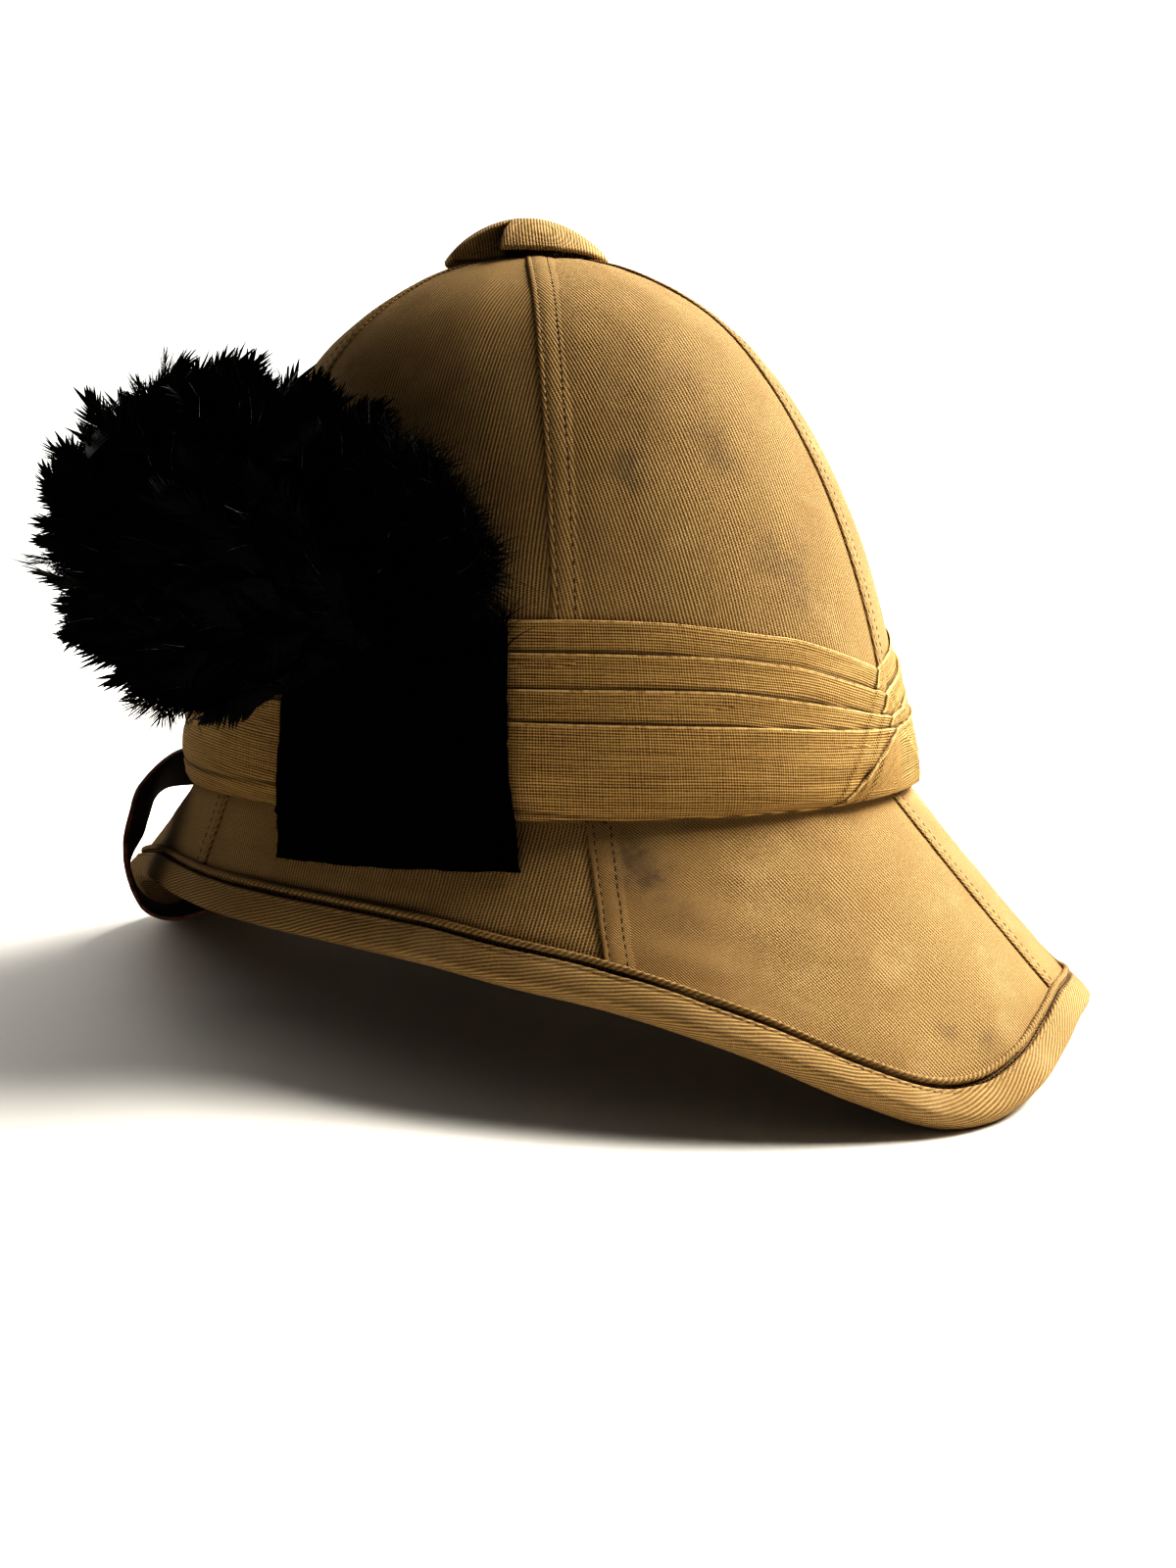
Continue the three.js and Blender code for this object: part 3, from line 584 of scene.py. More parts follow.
def thread(name, colour):
    """Twisted sewing thread."""
    surface = Surface(name, 0.75, 0.5)
    twist = surface.noise(surface.where(), 2400.0, 2.0)
    shade = surface.mix(surface.ramp(twist, 0.35, 0.7), tinted(colour, 0.6), colour)
    return surface.finish(shade, twist, 0.0001, 0.5)


def stain(angle, z, radius, strength):
    """A stain on the crown, or on the brim where z is below the crown's foot."""
    line = line_at_height(z)
    if z < 0:
        steps = np.linspace(0, 1, 200)
        line = steps[np.argmin(np.abs(brim_point(angle, steps)[:, 2] - z))]
    return tuple(to_row(skin(angle, line))), radius, strength


# Khaki cloth, as linear colours. Each panel has its own run of the twill, as in the photograph.
KHAKI = (0.397, 0.284, 0.142)
KHAKI_DARK = (0.139, 0.086, 0.036)
REAR_STAINS = [
    stain(131, 97, 0.011, 0.9), stain(133, 90, 0.008, 0.6), stain(149, 106, 0.012, 0.6),
    stain(150, 99, 0.009, 0.5), stain(157, 72, 0.018, 0.55), stain(159, 62, 0.014, 0.5),
    stain(126.5, -8, 0.013, 0.9), stain(128.5, -15, 0.013, 0.8), stain(131, -24, 0.010, 0.5),
    stain(160, -60, 0.010, 0.6), stain(156, -55, 0.007, 0.6), stain(140, 120, 0.03, 0.25),
    stain(128, 70, 0.03, 0.25), stain(145, -30, 0.03, 0.22),
]
SIDE_STAINS = [stain(100, 120, 0.022, 0.4), stain(72, 130, 0.012, 0.5), stain(108, 70, 0.02, 0.35)]
mat_side = twill("khaki_twill_side", KHAKI, KHAKI_DARK, 0.0, 1.06, SIDE_STAINS)
mat_rear = twill("khaki_twill_rear", KHAKI, KHAKI_DARK, -6.0, 1.1, REAR_STAINS)
mat_front = twill("khaki_twill_front", KHAKI, KHAKI_DARK, 6.0, 1.08)
mat_binding = twill("khaki_tape", tinted(KHAKI, 1.06), KHAKI_DARK, 72.0, 1.05, thread=0.6)
mat_piping = twill("khaki_piping", tinted(KHAKI, 0.85), KHAKI_DARK, 50.0, 1.2)
mat_button = twill("khaki_twill_button", tinted(KHAKI, 1.05), KHAKI_DARK, 0.0, 0.98, relief=0.9)
mat_lining = plain_weave("lining_drill", (0.26, 0.19, 0.11), (0.11, 0.075, 0.04), 0.7, 0.4)
mat_muslin = plain_weave("puggaree_muslin", (0.415, 0.285, 0.125), (0.14, 0.082, 0.029), 0.8, 0.6, True)
mat_thread = thread("khaki_thread", (0.3, 0.2, 0.095))
mat_thread_dark = thread("dark_thread", (0.07, 0.038, 0.015))

# Felt, feathers, leather and brass
mat_felt = felt("black_felt", (0.0022, 0.0021, 0.0023), (0.045, 0.042, 0.04))
mat_feather = feather("black_feather", (0.0008, 0.0007, 0.0009), (0.0026, 0.0023, 0.0034), 0.48, 0.09)
mat_fluff = feather("black_fluff", (0.001, 0.0009, 0.001), (0.004, 0.0036, 0.0044), 0.6, 0.08)
# pale hairs: painted highlights on the plume
mat_highlight_hair = feather("highlight_hair", (0.10, 0.10, 0.11), (0.3, 0.29, 0.28), 0.5, 0.3)
mat_core = feather("feather_core", (0.001, 0.001, 0.001), (0.002, 0.002, 0.002), 0.9, 0.05)
mat_leather = leather("strap_leather", (0.035, 0.01, 0.005), (0.1, 0.028, 0.012),
                      (0.26, 0.12, 0.08), 0.36, 0.12)
# the strap's inner face: near black, painted shade for the shadow it lies in against the brim
mat_leather_back_painted_shade = leather("strap_leather_back_painted_shade", (0.008, 0.0045, 0.0035), (0.02, 0.01, 0.007),
                           (0.04, 0.02, 0.014), 0.75, 0.0)
mat_brass = brass("dull_brass")


# Shell
SEAM_ANGLES = np.array([0, 60, 120, 180, 240, 300, 360], float)
SEAM_BRIM = np.array([0, 60, 123.5, 180, 236.5, 300, 360], float)
BRIM_TWILL = math.radians(-16)
PANEL_MATS = [mat_side, mat_rear, mat_front]
PANEL_LOOK = [2, 0, 1, 1, 0, 2]
REAR = 1
PANEL_COLUMNS = 36
CROWN_ROWS = 96
BRIM_ROWS = 56
PANEL_APART = 400
PANEL_CLOTH = []


def bent_angle(on_crown, on_brim, line):
    """A seam's angle, which may change between crown and brim."""
    return on_crown + (on_brim - on_crown) * smooth(-0.03, 0.03, line)


def cloth_swell(angle, line, share):
    """How the glued cloth lifts off its wall: flat in the middle of a panel, drawn in beside its seams."""
    beside = np.minimum(share, 1 - share)
    x = angle * 0.09
    y = line * 9
    waves = (value_noise(x, y, 3) - 0.5) * 0.5 + (value_noise(x * 3.1, y * 2.7, 5) - 0.5) * 0.16
    return waves * smooth(0, 0.08, beside) - 0.12 * (1 - smooth(0, 0.05, beside))


def build_panel(i, lines):
    """The outside of the cloth between two seams, with its place on the cloth in mm."""
    share = np.linspace(0, 1, PANEL_COLUMNS + 1)[None]
    start = bent_angle(SEAM_ANGLES[i], SEAM_BRIM[i], lines)[:, None]
    end = bent_angle(SEAM_ANGLES[i + 1], SEAM_BRIM[i + 1], lines)[:, None]
    angle = start + (end - start) * share
    reach = line_from_edge(angle[-1], EDGE_INSET)[None]
    line = np.where(lines[:, None] > 0, lines[:, None] * reach, lines[:, None])
    base = skin(angle, line)
    middle = PANEL_COLUMNS // 2
    u = arc(base, 1)
    u = u - u[:, middle:middle + 1]
    v = arc(base, 0)[:, middle:middle + 1] + 0 * u
    if PANEL_LOOK[i] == REAR:
        # the brim's cloth is cut apart from the crown's, and its twill is more slanted
        v = v - v[CROWN_ROWS]
        c = math.cos(BRIM_TWILL)
        s = math.sin(BRIM_TWILL)
        on_brim = (lines > -0.001)[:, None]
        u, v = np.where(on_brim, u * c + v * s, u), np.where(on_brim, v * c - u * s, v)
    u = u + PANEL_APART * i
    PANEL_CLOTH.append((lines, u[:, 0], v[:, 0], u[:, -1], v[:, -1]))
    return lifted(angle, line, cloth_swell(angle, line, share)), u, v


def build_shell_inside(columns):
    angles = np.arange(columns) * 360 / columns
    lines = np.concatenate([np.linspace(-1, 0, 41)[:-1], np.linspace(0, 1, 24)])[:, None]
    line = np.where(lines > 0, lines * line_from_edge(angles, EDGE_INSET)[None], lines)
    angle = np.broadcast_to(angles[None], line.shape)
    waves = 0.15 * (value_noise(angle * 0.1, line * 9, 8) - 0.5)
    return lifted(angle, line, waves - WALL)


def build_shell():
    lines = np.concatenate([-1 + np.arange(CROWN_ROWS) / CROWN_ROWS, np.linspace(0, 1, BRIM_ROWS)])
    panels = [build_panel(i, lines) for i in range(6)]
    outside = np.concatenate([p[:, :-1] for p, _, _ in panels], 1)
    rows, columns = outside.shape[:2]
    inside = build_shell_inside(columns)
    wide = np.concatenate([inside, inside[:, :1]], 1)
    # corner coordinates, panel by panel in each row of faces
    corners = [grid_uv(u, v, True).reshape(rows - 1, PANEL_COLUMNS, 4, 2) for _, u, v in panels]
    uv = [np.concatenate(corners, 1), grid_uv(arc(wide, 1), arc(wide, 0)), np.zeros((2 * columns, 4, 2))]
    first = rows * columns
    faces = [grid_faces(rows, columns, wrap_cols=True, flip=True),
             grid_faces(len(inside), columns, wrap_cols=True, start=first)]
    # the two skins are closed to each other at the vent and at the edge
    here = np.arange(columns)
    beside = (here + 1) % columns
    edge = first - columns
    inner_edge = first + (len(inside) - 1) * columns
    faces.append(np.stack([here, beside, first + beside, first + here], -1))
    faces.append(np.stack([edge + beside, edge + here, inner_edge + here, inner_edge + beside], -1))
    looks = np.tile(np.repeat(PANEL_LOOK, PANEL_COLUMNS), rows - 1)
    plain = np.full(sum(len(f) for f in faces[1:]), len(PANEL_MATS))
    points = np.concatenate([outside.reshape(-1, 3), inside.reshape(-1, 3)])
    return make_object("shell_cloth", points, faces, uv, [*PANEL_MATS, mat_lining],
                       np.concatenate([looks, plain]))


finish_piece(build_shell(), ["shell"])

# Stitches
STITCH_SIDES = 6
# along a stitch: how far from its middle, as a share of its length, and how thick it is there
STITCH_SHAPE = np.array([(-0.5, 0.25), (-0.36, 0.85), (0, 1), (0.36, 0.85), (0.5, 0.25)])


def stitch_mesh(name, places, along, normal, length, radius, mat):
    """Small loops of thread lying on a surface, whose ends sink into it."""
    side = unit(np.cross(along, normal))
    a = (np.arange(STITCH_SIDES) * 2 * math.pi / STITCH_SIDES)[None, :, None, None]
    reach = STITCH_SHAPE[:, 0, None, None, None]
    thick = STITCH_SHAPE[:, 1, None, None, None]
    ring = reach * length * along + thick * radius * (np.cos(a) * side + np.sin(a) * normal)
    verts = (places + ring - np.abs(reach) * radius * 1.6 * normal).transpose(2, 0, 1, 3)
    count = len(places)
    each = len(STITCH_SHAPE) * STITCH_SIDES
    quads = grid_faces(len(STITCH_SHAPE), STITCH_SIDES, wrap_cols=True)
    caps = np.array([np.arange(STITCH_SIDES), each - 1 - np.arange(STITCH_SIDES)])
    starts = (np.arange(count) * each)[:, None, None]
    faces = [(quads[None] + starts).reshape(-1, 4), (caps[None] + starts).reshape(-1, STITCH_SIDES)]
    return make_object(name, verts.reshape(-1, 3), faces, None, [mat])


def stitch_places(path, angle, line, step, jitter):
    """Places at nearly equal steps along a path over the skin, with their directions and normals."""
    walked = path_length(path)
    at = np.arange(step / 2, walked[-1], step)
    at = at + rng.uniform(-jitter, jitter, len(at))
    last = len(path) - 1
    k = np.interp(at, walked, np.arange(len(path)))
    along = read_path(path, np.minimum(k + 0.3, last)) - read_path(path, np.maximum(k - 0.3, 0))
    counts = np.arange(len(line))
    normal = outward(np.interp(k, counts, angle), np.interp(k, counts, line))
    return read_path(path, k), unit(along), normal


# Seams: name, angle on the crown, angle on the brim, and the side that the folded edge points to
SEAMS = [("seam_front", 0, 0, -1), ("seam_front_left", 60, 60, 1), ("seam_back_left", 120, 123.5, -1),
         ("seam_back", 180, 180, -1), ("seam_back_right", 240, 236.5, 1), ("seam_front_right", 300, 300, -1)]
# across a lapped seam: distance from its middle and height, the folded edge first
LAP = np.array([(-3.55, -0.2), (-3.62, 0.25), (-3.5, 0.62), (-3.2, 0.88), (-2.7, 0.96), (-2.05, 0.86),
                (-1.75, 0.68), (-1.4, 0.8), (-0.4, 0.9), (0.8, 0.82), (1.8, 0.66), (2.5, 0.5), (2.95, 0.34),
                (3.25, 0.36), (3.8, 0.26), (4.6, 0.08), (5.4, -0.15)])
LAP_HEIGHT = 0.72
STITCH_ROWS = (-1.75, 3.1)
STITCH_STEP = 2.6


def seam_lines(on_brim):
    """The lines that a seam passes, from under the button to just short of the piping."""
    top = float(line_at_height(crown_height_at(SEAM_RING)))
    end = float(line_from_edge(on_brim, PIPING_INSET + PIPING_RADIUS + 0.2)[0])
    return np.concatenate([np.linspace(top, -0.001, 150), np.linspace(0.001, end, 60)])


def build_seam(name, on_crown, on_brim, side):
    line = seam_lines(on_brim)
    angle = bent_angle(on_crown, on_brim, line)
    per_degree = np.linalg.norm(skin(angle + 1, line) - skin(angle - 1, line), axis=-1) / 2
    wander = (value_noise(line * 16, 0 * line, 11 + on_crown) - 0.5) * 0.35
    offset = LAP[:, 0][:, None] * -side
    height = LAP[:, 1][:, None] * LAP_HEIGHT
    lift = height + 0.08 * (value_noise(line * 60, 0 * line, 5)[None] - 0.5)
    lift = lift * np.maximum(smooth(0, 0.03, line - line[0]), 0.4)[None]
    p = lifted(angle[None] + (offset + wander[None]) / per_degree[None], line[None], lift)
    # the lap is the edge of the panel that lies on top, so it carries on that panel's weave
    first = round(on_crown / 60)
    panel = first if side < 0 else (first - 1) % 6
    lines, first_u, first_v, last_u, last_v = PANEL_CLOTH[panel]
    edge_u = np.interp(line, lines, first_u if side < 0 else last_u)
    edge_v = np.interp(line, lines, first_v if side < 0 else last_v)
    turn = np.where((line > 0) & (PANEL_LOOK[panel] == REAR), BRIM_TWILL, 0)
    u = edge_u[None] + offset * np.cos(turn)[None]
    v = edge_v[None] - offset * np.sin(turn)[None]
    flip = side > 0
    faces = grid_faces(*p.shape[:2], flip=flip)
    mat = PANEL_MATS[PANEL_LOOK[panel]]
    lap = make_object(name + "_lap", p.reshape(-1, 3), faces, grid_uv(u, v, flip), [mat])
    finish_piece(lap, [name])
    rows = []
    for row in STITCH_ROWS:
        height = np.interp(row, LAP[:, 0], LAP[:, 1] * LAP_HEIGHT) + 0.02
        path = lifted(angle + (wander - side * row) / per_degree, line, np.full(len(line), height))
        rows.append(stitch_places(path, angle, line, STITCH_STEP, 0.1))
    places, along, normal = (np.concatenate(values) for values in zip(*rows))
    stitches = stitch_mesh(name + "_stitches", places, along, normal, 2.0, 0.22, mat_thread_dark)
    finish_piece(stitches, ())


for seam in SEAMS:
    build_seam(*seam)

# Binding: across it, a share of its height from its inner border to the edge, and the lift
TAPE_OUTSIDE = ((0.0, 0.1), (0.0, 0.9), (0.02, 1.45), (0.07, 1.75), (0.16, 1.72), (0.22, 1.6), (0.3, 1.78),
                (0.45, 1.95), (0.6, 1.98), (0.75, 1.95), (0.9, 1.85))
TAPE_INSIDE = ((0.85, -1.85), (0.5, -1.9), (0.15, -1.75), (0.04, -1.4), (0.0, -0.7), (0.0, 0.0))
TAPE_EDGE_ROW = 9


def build_binding():
    cols = 900
    angles = np.arange(cols) * 360 / cols
    edge = line_from_edge(angles, EDGE_INSET)
    top = line_from_edge(angles, BINDING_HEIGHT)
    down = downhill(angles, edge)
    normal = outward(angles, edge)
    at_edge = skin(angles, edge)
    wander = value_noise(angles * 0.35, 0 * angles, 21) - 0.5
    rows = []
    for share, lift in TAPE_OUTSIDE:
        line = top + (edge - top) * share - 0.004 * wander * (1 - share)
        rows.append(lifted(angles, line, lift + 0.25 * wander))
    half = WALL / 2 + CLEARANCE + BINDING_THICK
    for a in np.radians(np.linspace(12, 168, 11)):
        lift = half * math.copysign(abs(math.cos(a)) ** 0.75, math.cos(a)) - WALL / 2
        past = (CLEARANCE + BINDING_FOLD) * math.sin(a) ** 0.75 - 0.1
        rows.append(at_edge + normal * lift + down * past)
    for share, lift in TAPE_INSIDE:
        line = top + (edge - top) * share
        rows.append(lifted(angles, line, lift - WALL + 0.25 * wander * (share < 0.8)))
    p = np.stack(rows)
    place = to_row(p)
    place[..., 2] = np.maximum(place[..., 2], 0.0)
    wide = np.concatenate([p, p[:, :1]], 1)
    u = arc(wide, 1)[TAPE_EDGE_ROW - 1:TAPE_EDGE_ROW] + 0 * wide[..., 0]
    v = arc(wide, 0)
    v = v - v[TAPE_EDGE_ROW:TAPE_EDGE_ROW + 1]
    faces = grid_faces(len(rows), cols, wrap_cols=True, flip=True)
    return make_object("binding_tape", place.reshape(-1, 3), faces, grid_uv(u, v, True), [mat_binding],
                       row=True)


finish_piece(build_binding(), ["brim_binding"])

# Piping
PIPING_TURN = 3.1


def build_piping():
    """The covered cord: its cloth is wound round it, so it has a low twist with a pinch at each turn."""
    cols = 1800
    sides = 10
    angles = np.arange(cols) * 360 / cols
    line = line_from_edge(angles, PIPING_INSET)
    normal = outward(angles, line)
    down = downhill(angles, line)
    base = skin(angles, line)
    walked = path_length(np.concatenate([base, base[:1]]))
    phase = walked[:-1] / walked[-1] * round(walked[-1] / PIPING_TURN) * 2 * math.pi
    a = (np.arange(sides) * 2 * math.pi / sides)[:, None]
    pinch = 1 - 0.14 * np.exp(-np.sin(phase / 2) ** 2 / 0.02)
    radius = PIPING_RADIUS * (1.02 + 0.05 * np.cos(2 * a - phase[None])) * pinch[None]
    outwards = (PIPING_RADIUS * 0.95 + np.cos(a) * radius)[..., None]
    p = base + normal * outwards + down * (np.sin(a) * radius)[..., None]
    u = np.broadcast_to(walked[None], (sides + 1, cols + 1))
    v = np.broadcast_to((np.arange(sides + 1) * 2 * math.pi / sides)[:, None], (sides + 1, cols + 1))
    faces = grid_faces(sides, cols, wrap_cols=True, wrap_rows=True, flip=True)
    return make_object("piping_cord", p.reshape(-1, 3), faces, grid_uv(u, v, True), [mat_piping])


finish_piece(build_piping(), ["brim_piping"])


# Stitches round the edge
EDGE_STITCH_STEP = 2.1


def build_edge_stitches(name, inset, lift, mat, length, radius):
    angles = np.linspace(0, 360, 1441)
    line = line_from_edge(angles, inset)
    path = lifted(angles, line, np.full(len(line), lift))
    places, along, normal = stitch_places(path, angles, line, EDGE_STITCH_STEP, 0.12)
    stitches = stitch_mesh(name, places, along, normal, length, radius, mat)
    finish_piece(stitches, ())


build_edge_stitches("cord_stitches", BINDING_HEIGHT + 0.5, 0.42, mat_thread_dark, 1.25, 0.26)
build_edge_stitches("tape_stitches", BINDING_HEIGHT - 1.3, 1.66, mat_thread, 1.2, 0.17)

# Puggaree: heights of the top edges of the four visible layers by angle, over the crown's foot
FOLD_EDGES = np.array([
    (0, 55.0, 46.5, 40.0, 33.5), (40, 55.0, 47.0, 40.5, 34.0), (60, 55.0, 47.5, 40.5, 33.5),
    (78, 55.0, 46.8, 38.6, 30.5), (100, 55.0, 46.2, 36.6, 28.0), (122, 55.0, 45.6, 35.7, 26.4),
    (134, 53.9, 44.7, 35.1, 25.5), (142, 52.2, 43.7, 34.2, 24.7), (149, 50.4, 42.0, 32.3, 23.7),
    (156, 48.6, 40.0, 30.2, 22.6), (166, 43.8, 35.3, 27.0, 21.2), (172, 41.0, 32.6, 24.9, 20.5),
    (177, 38.2, 30.2, 23.3, 19.8), (180, 33.0, 25.5, 19.5, 17.5),
])
# the same where a layer goes on past the back, over or under the other side's, by angle past the back
PAST_BACK = np.array([
    (0, 33.0, 25.5, 19.5, 17.5), (4, 26.0, 17.5, 12.0, 13.0), (8, 18.0, 8.5, 3.0, 8.3),
    (12, 9.5, -1.0, -6.0, 3.4), (16, 0.0, -10.0, -14.0, -0.6), (60, -90.0, -90.0, -90.0, -60.0),
])
# the wound core under the layers: share of the band's height, and how far it stands off the crown
CORE_LEVELS = [0, 0.04, 0.12, 0.25, 0.4, 0.52, 0.66, 0.82, 0.94, 1.0]
CORE_LIFTS = [2.2, 3.2, 4.0, 4.2, 3.6, 2.6, 2.2, 1.6, 0.9, 0.35]
# across the folded top of a strip: distance in from its edge, and depth under its face
FOLD_PROFILE = [(1.3, 1.25), (0.5, 1.2), (0.12, 1.0), (-0.02, 0.7), (-0.05, 0.42), (0.02, 0.2), (0.16, 0.06)]
FOLD_INWARD = [0.34, 0.6, 0.95, 1.4, 2.0, 2.8, 3.8, *np.linspace(5.0, 9.0, 4)]
# under the foot of the lowest layer: drop as a share of FOOT_DROP, and depth
FOOT_PROFILE = [(-0.55, 0.35), (-0.85, 1.1), (-0.75, 2.2), (-0.3, 3.6)]
FOOT_DROP = 0.9
BACK_SHIFT = 6.0
LAYER_THICK = 0.62
LOWEST = 3
STRIPS = 8
CREASED_STRIP = 6
MM_A_DEGREE = 2.05


def edge_height(k, angle):
    """Height of the left side's layer k at an angle that may run past the back (over 180)."""
    angle = np.asarray(angle, float)
    near = read_table(FOLD_EDGES, np.clip(angle, 0, 180), k + 1)
    past = np.interp(angle - 180, PAST_BACK[:, 0], PAST_BACK[:, k + 1])
    return np.where(angle > 180, past, near)


def right_angle(angle):
    """Where an angle lies along the right side's layers, which cross the left ones short of the back seam."""
    return 360 - angle - BACK_SHIFT * np.exp(-(((np.asarray(angle, float) - 180) / 50) ** 2))


def edge_tilt(k, angle):
    """Cosine of the slope of a layer's top edge, which turns heights into distances from that edge."""
    rise = (edge_height(k, angle + 0.4) - edge_height(k, angle - 0.4)) / (0.8 * MM_A_DEGREE)
    return 1 / np.sqrt(1 + rise ** 2)


def below_edge(order, angle, z):
    """How far a place lies below a strip's top edge. Strips of the left and the right side take turns."""
    k, right = divmod(order, 2)
    at = right_angle(angle) if right else angle
    return (edge_height(k, at) - z) * edge_tilt(k, at)


def band_core(angle, z):
    top = edge_height(0, np.abs((angle + 180) % 360 - 180))
    level = np.clip(z / np.maximum(top, 1), 0, 1)
    behind = np.exp(-((angle - 180) / 26) ** 2)
    return np.interp(level, CORE_LEVELS, CORE_LIFTS) * (1 - 0.4 * behind)


def foot_crease(angle):
    """A crease low on the left side's big fold, running out at the foot."""
    return 5.2 - 5.2 * smooth(96, 134, angle) + 1.2 * smooth(96, 80, angle)


def layer_lift(order, angle, z):
    """Height of the strip of this order over the crown: the core and each lower strip that is there."""
    lift = band_core(angle, z)
    for under in range(order + 1):
        inside = below_edge(under, angle, z)
        there = smooth(-0.9, 0.35, inside) if under < order else 1.0
        lift = lift + there * LAYER_THICK * (0.5 + 0.75 * np.exp(-np.maximum(inside, 0) / 3.2))
    if order == CREASED_STRIP:
        lift = lift - 0.55 * np.exp(-((z - foot_crease(angle)) / 0.55) ** 2) * smooth(134, 118, angle)
    wander = (value_noise(angle * 0.06, z * 0.16 + order * 7, 31) - 0.5) * 0.7
    pulls = (value_noise(angle * 0.025, z * 0.55 + order * 3, 37) - 0.5) * 0.42
    return lift + wander + pulls


def strip_rows(k, top, lower, tilt):
    """Heights and depths of the rows of a strip, from inside its folded top to its foot."""
    reach = (top - lower) * tilt * 0.9
    heights = [top - inward / tilt for inward, _ in FOLD_PROFILE]
    heights += [top - np.minimum(inward, reach) / tilt for inward in FOLD_INWARD]
    start = heights[-1]
    heights += [start + (lower - start) * share for share in np.linspace(0.1, 1, 22 if k == LOWEST else 5)]
    depths = [depth for _, depth in FOLD_PROFILE]
    depths += [0.0] * (len(heights) - len(depths))
    if k == LOWEST:
        heights += [lower + FOOT_DROP * drop for drop, _ in FOOT_PROFILE]
        depths += [depth for _, depth in FOOT_PROFILE]
    depth = np.array(depths)[:, None] + 0 * top[None]
    return np.stack(heights), depth


def strip_crease_shade(order, angle, z):
    """Painted shade just above each edge of a strip that lies on this one, and in the crease near the foot.
    """
    crease_shade = np.zeros(z.shape)
    for over in range(order + 1, STRIPS):
        above = -below_edge(over, angle, z)
        crease_shade = np.maximum(crease_shade, smooth(-0.4, 0.0, above) * (1 - smooth(0.25, 1.3, above)))
    if order == CREASED_STRIP:
        groove = (z - foot_crease(angle)) / 0.5
        crease_shade = np.maximum(crease_shade, 0.8 * np.exp(-groove ** 2) * smooth(132, 116, angle))
    return crease_shade


def build_strip(order):
    """One strip of cloth that shows: its points, faces, cloth places, the painted highlight with fading on
    its fold, and its painted shade.
    """
    k, right = divmod(order, 2)
    angle = np.concatenate([np.arange(0, 140, 0.8), np.arange(140, 205.01, 0.25)])
    own = right_angle(360 - angle) if right else angle
    keep = edge_height(k, own) > 1.6
    angle = angle[keep]
    own = own[keep]
    top = edge_height(k, own)
    tilt = edge_tilt(k, own)
    lower = np.zeros(len(angle))
    if k < LOWEST:
        lower = np.maximum(edge_height(k + 1, own) - 5.0, 0.0)
    z, depth = strip_rows(k, top, np.minimum(lower, top - 1.5), tilt)
    spread = np.broadcast_to(angle[None], z.shape)
    real = 360 - spread if right else spread
    lift = layer_lift(order, real, np.maximum(z, 0.0))
    if k == 0:
        depth = np.where(depth > 0.3, np.minimum(depth * 1.3, lift - 0.2), depth)
    line = np.where(z >= 0, line_at_height(np.maximum(z, 0)), -z / 60.0)
    p = lifted(real, line, np.maximum(lift - depth, 0.35))
    # share of the painted highlight with fading, strongest on the folded top edge
    wear_and_highlight = 1 - smooth(0.35, 1.0, (top[None] - z) * tilt[None])
    length = path_length(skin(angle, 0 * angle))
    u = np.broadcast_to(length[None], z.shape) + 711 * right
    v = (top[None] - z) * (0.5 + 0.5 * tilt[None]) + 23.7 * order
    flip = not right
    faces = grid_faces(*z.shape, flip=flip)
    return p.reshape(-1, 3), faces, grid_uv(u, v, flip), wear_and_highlight, strip_crease_shade(order, real, z)


def build_puggaree():
    points, faces, uvs, wear_and_highlight, crease_shade = zip(*(build_strip(order) for order in range(STRIPS)))
    starts = np.cumsum([0] + [len(p) for p in points])
    faces = [face + start for face, start in zip(faces, starts)]
    # fold holds the share of painted highlight with fading
    shades = {"fold": np.concatenate([w.ravel() for w in wear_and_highlight]),
              # crease holds the share of painted shade
              "crease": np.concatenate([d.ravel() for d in crease_shade])}
    return make_object("puggaree_folds", np.concatenate(points), faces, list(uvs), [mat_muslin], extra=shades)


finish_piece(build_puggaree(), ["puggaree"])

# Felt patch: down from its top edge, a share of its height and its lift as a share of the band's
PATCH_LIFT_AT = [0.0, 0.1, 0.25, 0.45, 0.62, 0.74, 0.8, 0.86, 0.94, 1.0]
PATCH_LIFT = [0.5, 0.62, 0.8, 0.98, 1.1, 1.1, 0.98, 0.55, 0.14, 0.02]
PATCH_ON_BAND = 0.76
PATCH_BEND = (0.70, 0.82)


def patch_line(t, length):
    """The line under a place on the patch: down the band to PATCH_ON_BAND, then down the brim."""
    top = BAND_HEIGHT - PATCH_TOP_BELOW_BAND

    def on_band(share):
        return line_at_height(top * (1 - share / PATCH_ON_BAND * 0.97))

    def on_brim(share):
        return (share - PATCH_ON_BAND) / (1 - PATCH_ON_BAND) * PATCH_BELOW_BAND / length

    start, end = PATCH_BEND
    blend = smooth(start, end, t)
    bend = on_band(start) * (1 - blend) + on_brim(end) * blend
    upper = on_band(np.clip(t, 0, PATCH_ON_BAND))
    lower = on_brim(np.clip(t, PATCH_ON_BAND, 1))
    line = np.where(t < PATCH_ON_BAND, upper, lower)
    return np.where((t > start) & (t < end), bend, line)


